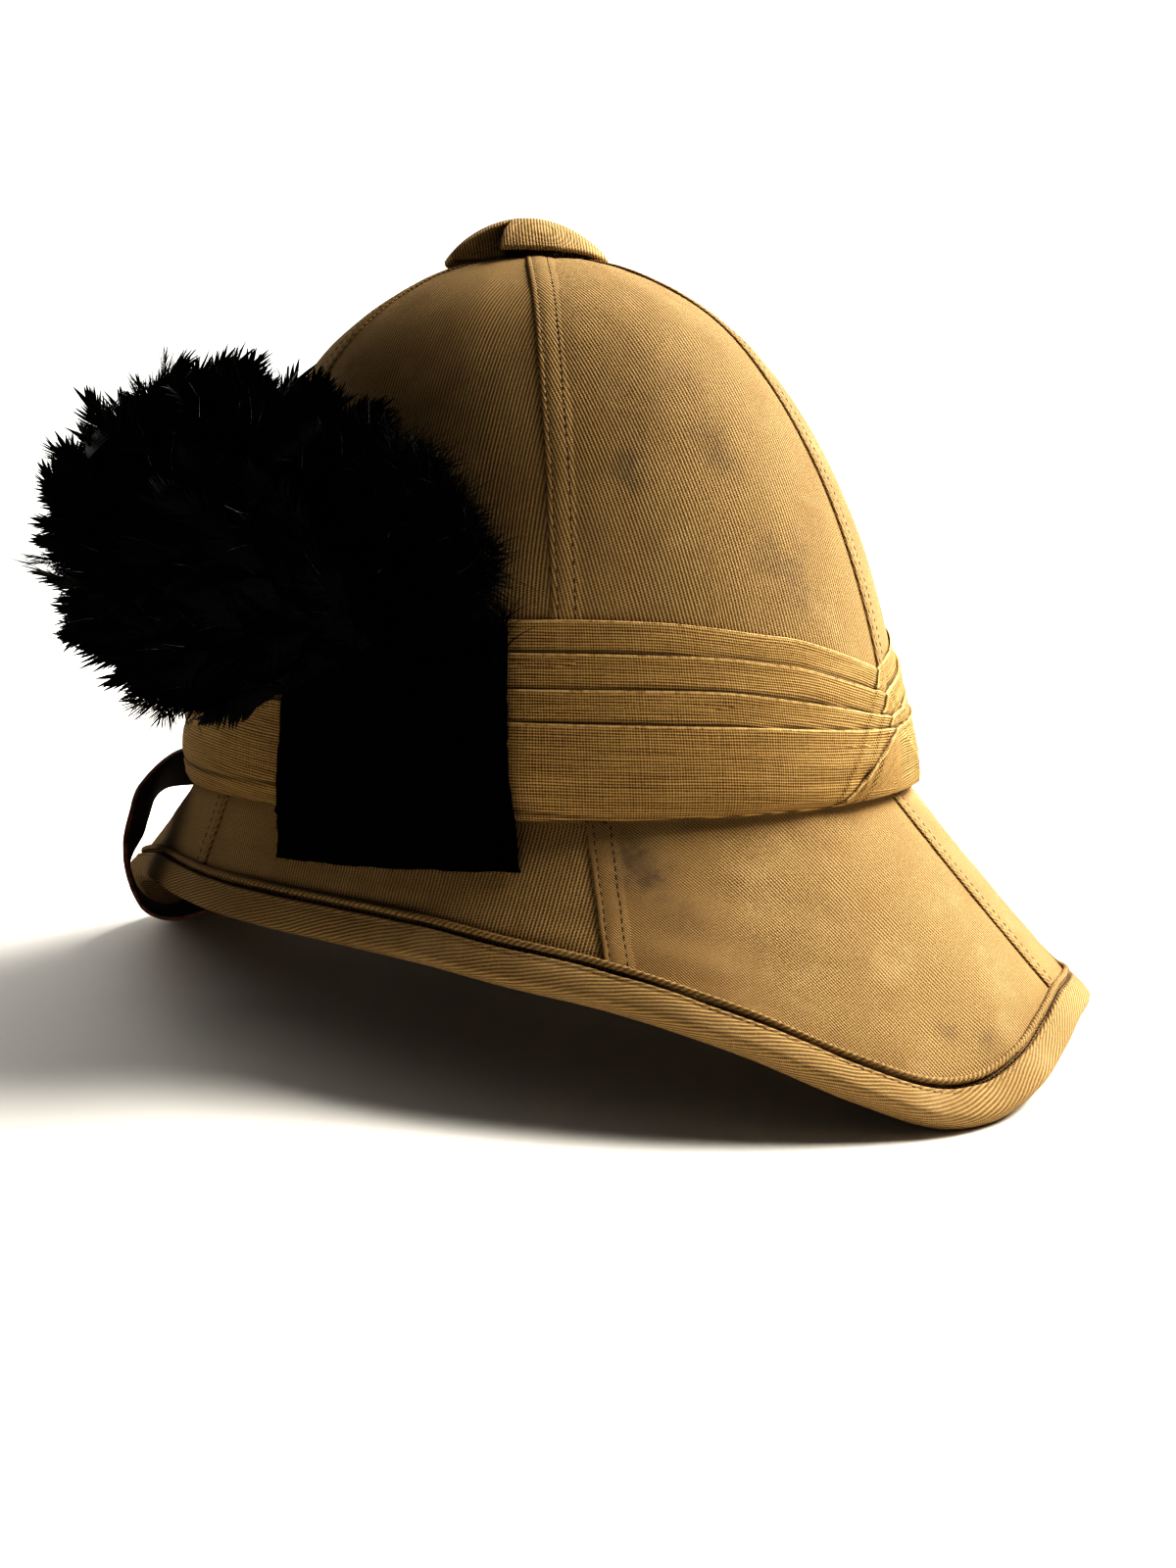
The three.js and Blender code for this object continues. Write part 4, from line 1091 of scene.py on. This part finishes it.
def patch_surface(s, t, extra):
    """A place on the patch: s across from the front edge, t down from its top edge."""
    middle = (PATCH_FROM + PATCH_TO) / 2
    angle = PATCH_FROM + (PATCH_TO - PATCH_FROM) * s
    length = np.linalg.norm(brim_point(angle, 0 * s) - brim_point(angle, 0 * s + 1), axis=-1)
    line = patch_line(t, length)
    lift = np.interp(t, PATCH_LIFT_AT, PATCH_LIFT) * BAND_PROUD
    widens = np.interp(t, [0, 0.15, 0.5, 0.75, 1.0], [0, 0, 0.3, 0.5, 1.0])
    angle = middle + (angle - middle) * (1 + PATCH_WIDENS * widens)
    ripple = (value_noise(s * 3.2, t * 3.5, 41) - 0.5) * 1.3 + (value_noise(s * 9, t * 9, 43) - 0.5) * 0.35
    return lifted(angle, line, lift + extra + ripple * smooth(0, 0.2, t))


def cut_edge(x, seed):
    """How an edge cut by hand wanders, as a share of the patch."""
    return (value_noise(x * 9, 0 * x, seed) - 0.5) * 0.016 + (value_noise(x * 34, 0 * x, seed) - 0.5) * 0.008


def build_patch():
    cols = 60
    rows = 84
    across, down = np.meshgrid(np.linspace(0, 1, cols), np.linspace(0, 1, rows))
    s = across + cut_edge(down, 51) * (1 - across) + cut_edge(down, 52) * across
    t = np.clip(down + cut_edge(across, 53) * down, 0, 1.01)
    inset = np.minimum.reduce([across, 1 - across, down, 1 - down])
    round_off = 1 - np.clip(inset / 0.012, 0, 1) ** 0.5
    seat = CLEARANCE + 0.35
    face = patch_surface(s, t, seat + PATCH_THICK * (1 - 0.45 * round_off))
    back = patch_surface(s, t, seat + PATCH_THICK * 0.45 * round_off)
    count = rows * cols
    border = np.concatenate([np.arange(cols), np.arange(1, rows) * cols + cols - 1,
                             (rows - 1) * cols + np.arange(cols - 2, -1, -1),
                             np.arange(rows - 2, 0, -1) * cols])
    beside = np.roll(border, -1)
    faces = [grid_faces(rows, cols, flip=True), grid_faces(rows, cols, start=count),
             np.stack([border, beside, beside + count, border + count], -1)]
    points = np.concatenate([face.reshape(-1, 3), back.reshape(-1, 3)])
    return make_object("felt_patch", points, faces, None, [mat_felt]), face


patch, patch_face = build_patch()
finish_piece(patch, ["side_patch"])
PATCH_ROWS, PATCH_COLS = patch_face.shape[:2]


def strands(name, roots, dirs, lengths, widths, bends, mat, steps=4):
    """Fine tapered hairs: thin strips with a curl."""
    count = len(roots)
    t = np.linspace(0, 1, steps + 1)
    curve = (roots[:, None] + dirs[:, None] * (t[None, :, None] * lengths[:, None, None])
             + bends[:, None] * (t[None, :, None] ** 2 * lengths[:, None, None]))
    tangent = unit(np.gradient(curve, axis=1))
    side = unit(np.cross(tangent, unit(rng.normal(size=(count, 3)))[:, None]))
    half = (widths[:, None] * (1 - t[None] ** 1.5) * 0.5 + 0.01)[..., None]
    verts = np.stack([curve + side * half, curve - side * half], 2).reshape(-1, 3)
    return make_object(name, verts, strip_faces(count, steps + 1), None, [mat])


def strip_faces(count, points):
    """The quads of strips that have a pair of vertices at each of their points."""
    k = np.arange(points - 1) * 2
    quads = np.stack([k, k + 1, k + 3, k + 2], -1)
    return (quads[None] + (np.arange(count) * points * 2)[:, None, None]).reshape(-1, 4)


def build_felt_fuzz():
    """Fibres on the felt, more than half of them on its four edges."""
    count = 2600
    edge = rng.integers(0, 4, count)
    x = rng.uniform(0, 1, count)
    r = (x * (PATCH_ROWS - 1)).astype(int)
    c = (x * (PATCH_COLS - 1)).astype(int)
    r[edge == 0] = 0
    r[edge == 1] = PATCH_ROWS - 1
    c[edge == 2] = 0
    c[edge == 3] = PATCH_COLS - 1
    inside = rng.uniform(0, 1, count) < 0.45
    r = np.where(inside, rng.integers(0, PATCH_ROWS, count), r)
    c = np.where(inside, rng.integers(0, PATCH_COLS, count), c)
    root = patch_face[r, c]
    outwards = unit(root - patch_face.mean((0, 1)))
    face = unit(np.array([1.0, 0.1, 0.25]))
    spread = np.where(inside, 0.3, 1.0)[:, None]
    d = unit(outwards * spread + rng.normal(size=(count, 3)) * 0.7 + face * 0.35)
    return strands("felt_fuzz", root - outwards * 0.3, d, rng.uniform(0.3, 1.3, count),
                   rng.uniform(0.04, 0.09, count), rng.normal(size=(count, 3)) * 0.4, mat_felt, 3)


finish_piece(build_felt_fuzz(), ())

# Button
TUCK_FACE = 99.0
UNDERSIDE_ROWS = 3
# from the middle underneath to the rim: share of the radius, which height it starts from, and its rise
BUTTON_UNDER = [(0.02, "seat", -0.6), (0.5, "seat", -0.8), (0.8, "skirt", 0.9), (0.93, "skirt", -0.2),
                (0.975, "skirt", -0.35), (1.0, "skirt", 0.1), (1.003, "skirt", 0.9)]


def build_button():
    """A low dome whose cloth turns in under a fold on one side."""
    skirt = crown_height_at(BUTTON_RADIUS - BUTTON_FORWARD) + CLEARANCE + SEAM_THICK + BUTTON_LIFT - TOP_DIP
    base = {"seat": BUTTON_SEAT, "skirt": skirt}
    rise = BUTTON_SEAT + BUTTON_RISE - skirt
    x = np.linspace(0.995, 0.001, 46)
    dome = skirt + 0.9 + (rise - 0.9) * (1 - x ** 2) ** 0.85
    reach = np.concatenate([[row[0] for row in BUTTON_UNDER], x])[:, None] * BUTTON_RADIUS
    z = np.concatenate([[base[name] + up for _, name, up in BUTTON_UNDER], dome])
    height = np.clip((z - skirt) / rise, 0, 1)[:, None]
    height[:UNDERSIDE_ROWS + 1] = 0
    outside = (np.arange(len(z)) >= UNDERSIDE_ROWS).astype(float)[:, None]
    cols = 300
    a = np.arange(cols) * 2 * math.pi / cols
    # angle 0 is the front and grows towards the wearer's left
    beside = (np.degrees(a) - TUCK_FACE + 180) % 360 - 180
    tuck = np.where(beside <= 0, np.clip(1 + beside / 42, 0, 1) ** 0.7, np.clip(1 - beside / 4, 0, 1))
    inside = smooth(0.0, 0.12, tuck * 0.8 - height) * smooth(0, 0.08, tuck)
    depth = inside * (3.0 + 7.5 * tuck) * outside
    fold = np.exp(-((beside - 6) / 4.5) ** 2) * outside * smooth(0.85, 0.5, height)
    ripple = 0.16 * np.sin(a * 13 + 1) * outside * smooth(0.7, 0.2, height)
    radius = np.maximum(reach - depth + 0.7 * fold + ripple, 0.01)
    x = np.sin(a) * radius
    y = BUTTON_MIDDLE - np.cos(a) * radius
    p = np.stack([x, y, np.broadcast_to(z[:, None], x.shape)], -1)
    wide = np.concatenate([p, p[:, :1]], 1)
    # its twill runs across the dome as seen from the photograph's side
    u = wide @ np.array([-0.475, 0.88, 0.12])
    v = wide @ np.array([0.88, 0.475, 1.4])
    faces = grid_faces(len(z), cols, wrap_cols=True)
    return make_object("button_dome", p.reshape(-1, 3), faces, grid_uv(u, v), [mat_button])


finish_piece(build_button(), ["button"])

# Strap: angle from the front, place (under 0 on the crown, as a share of the band's height), turn of its
# face, and its shares of the band's thickness, of the rim's and of the free bow, as in the CAD
STRAP_ROUTE = [
    (0, 0.13, 0, 1, 0, 0.05), (12, 0.13, 0, 1, 0, 0.05), (22, 0.17, 0, 1, 0, 0.22),
    (29, 0.26, 0, 0.9, 0, 0.4), (34, 0.43, 0, 0.5, 0, 0.75), (38, 0.58, 4, 0, 0, 1.1),
    (41, 0.77, 18, 0, 0.4, 1), (44, 0.92, 48, 0, 1, 0.55), (47, 1, 92, 0, 1, 0.22),
    (51, 0.94, 140, 0, 1, 0.25), (56, 0.75, 170, 0, 0.5, 0.6), (62, 0.48, 180, 0, 0, 0.6),
    (70, 0.16, 180, 0, 0, 0.35), (79, -0.12, 180, 0, 0, 0.1), (92, -0.3, 180, 0, 0, 0.06),
]
# the free loops beside the peak are rolled, so that their inner face shows from behind: places on the route
STRAP_ROLL = math.radians(27.0)
LOOP_RIGHT = 9.6
LOOP_LEFT = 18.4
LOOP_SPREAD = 1.5
STRAP_STEPS = 640
# half of the strap's section, from one edge of its face to the other: share of the width, of the thickness
STRAP_FACE = [(-0.97, 0.78), (-0.93, 0.94), (-0.6, 1.0), (0, 1.0), (0.6, 1.0), (0.93, 0.94), (0.97, 0.78)]


def strap_spine(side):
    """Places on the strap's middle on one side, with the way its face looks there."""
    spine = []
    for angle, along, turn, band, rim, bow in STRAP_ROUTE:
        line = float(line_at_height(-along * BAND_HEIGHT)) if along < 0 else along
        normal = outward(angle * side, line)
        down = downhill(angle * side, line)
        face = normal * math.cos(math.radians(turn)) + down * math.sin(math.radians(turn))
        lift = WALL / 2 + CLEARANCE + STRAP_THICK / 2 + band * BAND_PROUD + rim * EDGE_INSET + bow * STRAP_BOW
        spine.append((skin(angle * side, line) - normal * (WALL / 2) + face * lift, face))
    return spine


def centripetal_step(a, b):
    return np.maximum(((a - b) ** 2).sum(1, keepdims=True) ** 0.25, 1e-4)


def centripetal_curve(points, t):
    """Centripetal curve through points at t from 0 to 1, as the CAD's."""
    place = (len(points) - 1) * t
    i = np.minimum(np.floor(place).astype(int), len(points) - 2)
    w = (place - i)[:, None]
    around = np.concatenate([[2 * points[0] - points[1]], points, [2 * points[-1] - points[-2]]])
    p0, p1, p2, p3 = (around[i + k] for k in range(4))
    d0 = centripetal_step(p0, p1)
    d1 = centripetal_step(p1, p2)
    d2 = centripetal_step(p2, p3)
    t1 = ((p1 - p0) / d0 - (p2 - p0) / (d0 + d1) + (p2 - p1) / d1) * d1
    t2 = ((p2 - p1) / d1 - (p3 - p1) / (d1 + d2) + (p3 - p2) / d2) * d1
    return p1 + t1 * w + (-3 * p1 + 3 * p2 - 2 * t1 - t2) * w ** 2 + (2 * p1 - 2 * p2 + t1 + t2) * w ** 3


def strap_frame():
    """The strap's middle at equal steps of its route, with its directions along, across and outwards."""
    route = strap_spine(-1)[1:][::-1] + strap_spine(1)
    points = np.array([point for point, _ in route])
    looks = np.array([face for _, face in route])
    t = np.linspace(0, 1, STRAP_STEPS + 1)
    ahead = centripetal_curve(points, np.minimum(t + 1e-4, 1))
    behind = centripetal_curve(points, np.maximum(t - 1e-4, 0))
    along = unit(ahead - behind)
    place = t * (len(points) - 1)
    face = read_path(looks, place)
    face = unit(face - along * (face * along).sum(1, keepdims=True))
    across = unit(np.cross(along, face))
    left = np.exp(-((place - LOOP_LEFT) / LOOP_SPREAD) ** 2)
    right = np.exp(-((place - LOOP_RIGHT) / LOOP_SPREAD) ** 2)
    roll = (STRAP_ROLL * (left - right))[:, None]
    rolled_face = face * np.cos(roll) + across * np.sin(roll)
    rolled_across = across * np.cos(roll) - face * np.sin(roll)
    return centripetal_curve(points, t), along, rolled_across, rolled_face


def build_strap():
    middle, along, across, face = strap_frame()
    length = path_length(middle)
    back = [(-x, -y) for x, y in STRAP_FACE]
    section = np.array([*STRAP_FACE, (1.0, 0.45), (1.0, -0.45), *back, (-1.0, -0.45), (-1.0, 0.45)])
    wave = (value_noise(length * 0.06, 0 * length, 61) - 0.5) * 0.5
    p = (middle + across * (section[:, 0] * STRAP_WIDTH / 2)[:, None, None]
         + face * (section[:, 1] * STRAP_THICK / 2)[:, None, None] + face * wave[:, None])
    rows, cols = p.shape[:2]
    v = arc(np.concatenate([p, p[:1]], 0), 0)
    u = np.broadcast_to(length[None], v.shape)
    start = np.arange(rows) * cols
    faces = [grid_faces(rows, cols, wrap_rows=True, flip=True), start[None], (start + cols - 1)[None, ::-1]]
    # paler where it bends, partly rubbing wear and partly painted sheen, and paler from rubbing along both of
    # its edges
    bend = np.linalg.norm(np.gradient(along, axis=0), axis=1) / np.maximum(np.gradient(length), 1e-6)
    wear_and_highlight = np.convolve(np.clip(bend * 18, 0, 1), np.ones(21) / 21, "same")
    edge = (np.abs(section[:, 0]) > 0.9)[:, None]
    wear_and_highlight = np.where(edge, np.maximum(wear_and_highlight, 0.55), wear_and_highlight)
    uv = [grid_uv(u, v, True), np.zeros((2 * rows, 2))]
    # the inner face takes the near-black material of painted shade
    below = section[:, 1] < -0.7
    inner = below & np.roll(below, -1)
    looks = np.concatenate([np.repeat(inner.astype(int), cols - 1), [0, 0]])
    mats = [mat_leather, mat_leather_back_painted_shade]
    return make_object("strap_leather_band", p.reshape(-1, 3), faces, uv, mats, looks, extra={"wear_and_highlight": wear_and_highlight})


finish_piece(build_strap(), ["chin_strap"])

# The hidden metal keeps its CAD shape
for node in ("button_post", "strap_stud_left", "strap_stud_right"):
    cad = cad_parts[node]
    if not cad.material_slots:
        cad.data.materials.append(mat_brass)
    cad.material_slots[0].material = mat_brass

# Plume
PATCH_MIDDLE = (PATCH_FROM + PATCH_TO) / 2
PLUME_ROOT = lifted(PATCH_MIDDLE, float(line_at_height(BAND_HEIGHT * 0.95)),
                    0.54 * BAND_PROUD + PATCH_THICK + 3 * CLEARANCE + PLUME_HEAD_RADIUS)
SOFT_FROM = PLUME_ROOT[1] - 12
CORE_VOXEL = 0.0022
CORE_DEPTH = 0.0052
CORE_ROUGHNESS = 0.003
VANES = 400
RIM_FEATHERS = 150
DOWN = 9500
LOOSE_HAIRS = 1500
PATCH_DOWN = 2600
HIGHLIGHT_HAIRS = 70


def build_core():
    """A dark body under the feathers: the CAD plume, remeshed, roughened and shrunk. Also gives the skin
    that it had before it was shrunk, in the row frame, with its normals."""
    cad_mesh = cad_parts["plume"].data.copy()
    obj = bpy.data.objects.new("plume_core", cad_mesh)
    bpy.context.scene.collection.objects.link(obj)
    remesh = obj.modifiers.new("remesh", "REMESH")
    remesh.mode = "VOXEL"
    remesh.voxel_size = CORE_VOXEL
    mesh = bpy.data.meshes.new_from_object(obj.evaluated_get(bpy.context.evaluated_depsgraph_get()))
    places = np.array([vertex.co for vertex in mesh.vertices], float)
    normals = np.array([vertex.vector for vertex in mesh.vertex_normals], float)
    bumps = value_noise(places[:, 1] * 160, places[:, 2] * 160 + places[:, 0] * 90, 71) - 0.5
    shrunk = places - normals * (CORE_DEPTH + bumps[:, None] * CORE_ROUGHNESS)
    mesh.vertices.foreach_set("co", shrunk.astype(np.float32).ravel())
    mesh.polygons.foreach_set("use_smooth", np.ones(len(mesh.polygons), bool))
    mesh.update()
    mesh.materials.clear()
    mesh.materials.append(mat_core)
    obj.modifiers.clear()
    obj.data = mesh
    bpy.data.meshes.remove(cad_mesh)
    return obj, places, normals


core, core_places, core_normals = build_core()
finish_piece(core, ["plume"])
plume_skin = turned(core_places / MM - PLACE, -TURN)
plume_normal = unit(turned(core_normals, -TURN))


class Feathers:
    """Collects feathers, each a shaft and barbs as thin strips."""

    def __init__(self):
        self.verts = []
        self.faces = []
        self.count = 0

    def strips(self, curve, side, width):
        """curve and side hold a place for each strip and point, and width a number."""
        half = side * width[..., None] / 2
        verts = np.stack([curve + half, curve - half], 2).reshape(-1, 3)
        self.verts.append(verts)
        self.faces.append(strip_faces(*curve.shape[:2]) + self.count)
        self.count += len(verts)

    def add(self, root, direction, normal, length, width, curl, barbs, ragged=1.0, body=1.15):
        """One blunt feather: broad to near its end, where its barbs turn along the shaft."""
        direction = unit(direction)
        normal = unit(normal - direction * np.dot(normal, direction))
        lateral = np.cross(direction, normal)
        t = np.linspace(0, 1, 9)
        sideways = rng.normal() * 0.14
        bow = normal * (curl * length) + lateral * (sideways * length)
        shaft = root + direction * (t * length)[:, None] + bow * (t ** 2)[:, None]
        tangent = unit(np.gradient(shaft, axis=0))
        self.strips(shaft[None], np.broadcast_to(lateral, (1, len(t), 3)), (0.45 * (1 - t) + 0.1)[None])
        s = np.clip(np.linspace(0.06, 0.97, barbs) + rng.uniform(-0.3, 0.3, barbs) / barbs, 0.03, 0.985)
        at = read_path(shaft, s * (len(t) - 1))
        ahead = unit(read_path(tangent, s * (len(t) - 1)))
        shape = (0.35 + 0.65 * smooth(0, 0.35, s)) * (1 - 0.38 * smooth(0.6, 1, s))
        for sign in (1, -1):
            clump = value_noise(s * 6 + rng.uniform(0, 90), 0 * s + sign, 3) - 0.5
            lean = np.radians(52 - 38 * smooth(0.45, 1, s) + clump * 26 * ragged)[:, None]
            out = ahead * np.cos(lean) + unit(np.cross(ahead, normal)) * (sign * np.sin(lean))
            reach = width * shape * (1 + 0.10 * ragged * rng.normal(size=barbs) + 0.22 * ragged * clump)
            reach = reach[:, None, None]
            droop = (-0.16 + 0.10 * ragged * rng.normal(size=barbs))[:, None, None]
            u = np.linspace(0, 1, 4)[None, :, None]
            bend = ahead[:, None] * 0.2 + normal * droop
            curve = at[:, None] + reach * (out[:, None] * u + bend * u ** 2)
            flat = np.broadcast_to(unit(np.cross(out, normal))[:, None], curve.shape)
            taper = np.array([1.1, 1.0, 0.8, 0.16]) * (length / barbs * body)
            self.strips(curve, flat, taper * rng.uniform(0.7, 1.1, barbs)[:, None])

    def build(self, name, mat):
        return make_object(name, np.concatenate(self.verts), np.concatenate(self.faces), None, [mat])


def sweep(points):
    """Which way feathers lie: away from the root, and over backwards near the top."""
    away = unit(points - PLUME_ROOT + np.array([0, 0, 3.0]))
    over = smooth(22, 57, points[:, 2] - PLUME_ROOT[2])[:, None]
    return unit(away + over * np.array([-0.28, 0.62, 0.0]))


def scatter(count, spread):
    """Random directions, one to a row, or a single one where count is None."""
    return rng.normal(size=3 if count is None else (count, 3)) * spread


def build_vanes(front, flow_all):
    """Feathers that lie on the front lobe, or stand on end where the skin faces their way."""
    vanes = Feathers()
    for i in rng.choice(front, VANES, replace=False):
        p = plume_skin[i]
        n = plume_normal[i]
        flow = flow_all[i]
        end_on = smooth(0, 0.9, abs(np.dot(n, flow)))
        face = unit(n * (1 - end_on) + unit(np.array([1.0, 0.4, 0.2]) + scatter(None, 0.5)) * end_on)
        lie = unit(flow - n * np.dot(n, flow) * (1 - end_on) * 0.8 + scatter(None, 0.16))
        length = rng.uniform(17, 27)
        root = p - lie * length * rng.uniform(0.78, 0.92) - n * rng.uniform(0.5, 3.0) * (1 - end_on)
        width = rng.uniform(6.5, 9.0)
        curl = rng.uniform(-0.2, -0.02) * (1 - 0.6 * end_on)
        vanes.add(root, lie, face, length, width, curl, barbs=25)
    return vanes.build("plume_vanes", mat_feather)


def build_rim_feathers(front, flow_all):
    """Shorter ragged feathers that stand off the front lobe and break its outline."""
    rim = Feathers()
    for i in rng.choice(front, RIM_FEATHERS, replace=False):
        lie = unit(flow_all[i] * 0.8 + plume_normal[i] * 0.75 + scatter(None, 0.22))
        length = rng.uniform(13, 19)
        face = np.cross(lie, unit(scatter(None, 1)))
        root = plume_skin[i] - lie * length * rng.uniform(0.62, 0.78)
        width = rng.uniform(4.5, 7.0)
        curl = rng.uniform(-0.3, 0.3)
        rim.add(root, lie, face, length, width, curl, barbs=24, ragged=1.6, body=0.55)
    return rim.build("plume_rim_feathers", mat_feather)


def build_fluff():
    """The soft back lobe: fine down, and loose hairs over the whole plume."""
    soft = np.flatnonzero(plume_skin[:, 1] > SOFT_FROM)
    pick = np.concatenate([rng.choice(soft, DOWN), rng.choice(len(plume_skin), LOOSE_HAIRS)])
    n = len(pick)
    down = np.arange(n) < DOWN
    flow = unit(plume_skin[pick] - PLUME_ROOT + np.array([0, 0, 4.0]))
    d = unit(plume_normal[pick] * 0.6 + flow * 0.8 + scatter(n, 0.45))
    length = np.where(down, rng.uniform(4, 9, n), rng.uniform(7, 14, n))
    root = plume_skin[pick] - d * (length * np.where(down, 0.62, 0.5))[:, None]
    bends = scatter(n, 0.35) + np.array([0, 0, -0.12])
    width = np.where(down, rng.uniform(0.15, 0.5, n), rng.uniform(0.08, 0.2, n))
    return strands("plume_down", root, d, length, width, bends, mat_fluff)


def build_patch_top_down():
    """Down that hides where the plume is sewn to the top of the felt."""
    n = PATCH_DOWN
    root = read_path(patch_face[0], rng.uniform(0.05, 0.99, n) * (PATCH_COLS - 1))
    root[:, 2] -= rng.uniform(-1.0, 9.0, n)
    d = unit(np.array([0.35, 0.15, 0.8]) + scatter(n, 0.45))
    bends = scatter(n, 0.3)
    length = rng.uniform(5, 11, n)
    width = rng.uniform(0.15, 0.45, n)
    return strands("patch_top_down", root, d, length, width, bends, mat_fluff)


def build_highlight_hairs():
    """A few pale hairs on the black: painted highlights that stand for glints of light on single barbs."""
    pick = rng.choice(np.flatnonzero(plume_normal[:, 0] > 0.45), HIGHLIGHT_HAIRS)
    n = HIGHLIGHT_HAIRS
    d = unit(sweep(plume_skin[pick]) * 0.9 + plume_normal[pick] * 0.25 + scatter(n, 0.3))
    length = rng.uniform(4, 11, n)
    lift = rng.uniform(0.6, 2.4, n)[:, None]
    root = plume_skin[pick] + plume_normal[pick] * lift - d * (length * 0.4)[:, None]
    return strands("plume_highlight_hairs", root, d, length, rng.uniform(0.06, 0.13, n), scatter(n, 0.25),
                   mat_highlight_hair, 5)


front_lobe = np.flatnonzero(plume_skin[:, 1] < SOFT_FROM + 8)
plume_flow = sweep(plume_skin)
finish_piece(build_vanes(front_lobe, plume_flow), ())
finish_piece(build_rim_feathers(front_lobe, plume_flow), ())
finish_piece(build_fluff(), ())
finish_piece(build_patch_top_down(), ())
finish_piece(build_highlight_hairs(), ())

# Stage: the photograph's room is bright behind the helmet, which is towards BRIGHT_SIDE in the row frame
BRIGHT_SIDE = tuple(unit((-0.87, -0.40, 0.22)))
FAR_WALL = tuple(unit((-0.87, -0.47, 0.0)))
GLOW_FROM = 0.55
GLOW_TO = 2.0
GLOW = 0.8
FLOOR_REACH = 6.0


def build_floor():
    """A pale floor that glows by itself more and more towards the lit wall, painted light, so that no line
    shows where they meet.
    """
    surface = Surface("pale_floor", 0.6, 0.2)
    where = surface.where()
    grime = surface.ramp(surface.noise(where, 6.0, 5.0, 0.6), 0.45, 0.75, 0.0, 0.3)
    surface.set("Base Color", surface.mix(grime, (0.86, 0.85, 0.825), (0.80, 0.775, 0.73)))
    surface.set("Emission Color", (1.0, 0.985, 0.96))
    # painted light: the floor's glow grows with distance towards the lit wall
    away = surface.vector_math("DOT_PRODUCT", where, FAR_WALL, "Value")
    surface.set("Emission Strength", surface.ramp(away, GLOW_FROM, GLOW_TO, 0.0, GLOW))
    corners = np.array([(-1, -1, 0), (1, -1, 0), (1, 1, 0), (-1, 1, 0)]) * FLOOR_REACH
    return make_object("floor", corners, np.array([[0, 1, 2, 3]]), None, [surface.material], row=True)


def build_room():
    """Soft light from the bright side of the room, fading round to the dim side."""
    world = bpy.data.worlds.new("studio")
    world.use_nodes = True
    nodes = world.node_tree.nodes
    links = world.node_tree.links
    place = nodes.new("ShaderNodeTexCoord")
    facing = nodes.new("ShaderNodeVectorMath")
    facing.operation = "DOT_PRODUCT"
    facing.inputs[1].default_value = BRIGHT_SIDE
    links.new(place.outputs["Generated"], facing.inputs[0])
    fade = nodes.new("ShaderNodeMapRange")
    fade.interpolation_type = "SMOOTHSTEP"
    for name, value in {"From Min": 0.45, "From Max": 0.86, "To Min": 0.075, "To Max": 0.85}.items():
        fade.inputs[name].default_value = value
    links.new(facing.outputs["Value"], fade.inputs[0])
    links.new(fade.outputs[0], nodes["Background"].inputs["Strength"])
    nodes["Background"].inputs["Color"].default_value = (1.0, 0.985, 0.95, 1)
    bpy.context.scene.world = world


def area_light(name, place, size, power, colour):
    """A rectangular lamp that looks at the helmet's middle."""
    data = bpy.data.lights.new(name, "AREA")
    data.shape = "RECTANGLE"
    data.size, data.size_y = size
    data.energy = power
    data.color = colour
    obj = bpy.data.objects.new(name, data)
    bpy.context.scene.collection.objects.link(obj)
    obj.location = place
    obj.rotation_euler = (Vector((0, 0, 0.12)) - Vector(place)).to_track_quat("-Z", "Y").to_euler()


build_floor()
build_room()
area_light("window", (-1.02, 0.82, 1.34), (1.3, 1.0), 96.0, (1.0, 0.965, 0.9))
area_light("front_fill", (-0.35, -1.8, 0.8), (1.6, 1.2), 9.0, (1.0, 0.97, 0.93))

# Camera: its place and directions in the helmet's own frame, as solved from the photograph's outlines
CAMERA_PLACE = (445.8, 258.4, 67.46)
CAMERA_LOOK = (-0.8708, -0.471, -0.1407)
CAMERA_UP = (-0.1263, -0.0623, 0.99)
SENSOR = 36.0
FOCAL_LENGTH = 33.75


def build_camera():
    data = bpy.data.cameras.new("camera")
    data.sensor_width = SENSOR
    data.lens = FOCAL_LENGTH
    data.clip_start = 0.01
    data.clip_end = 50
    camera = bpy.data.objects.new("camera", data)
    bpy.context.scene.collection.objects.link(camera)
    look = unit(turned(CAMERA_LOOK, TURN))
    right = unit(np.cross(look, turned(CAMERA_UP, TURN)))
    axes = Matrix((right, np.cross(right, look), -look)).transposed()
    camera.matrix_world = Matrix.Translation(to_row(CAMERA_PLACE)) @ axes.to_4x4()
    bpy.context.scene.camera = camera


build_camera()
bpy.context.scene.view_settings.view_transform = "Standard"
bpy.context.scene.view_settings.look = "Very High Contrast"
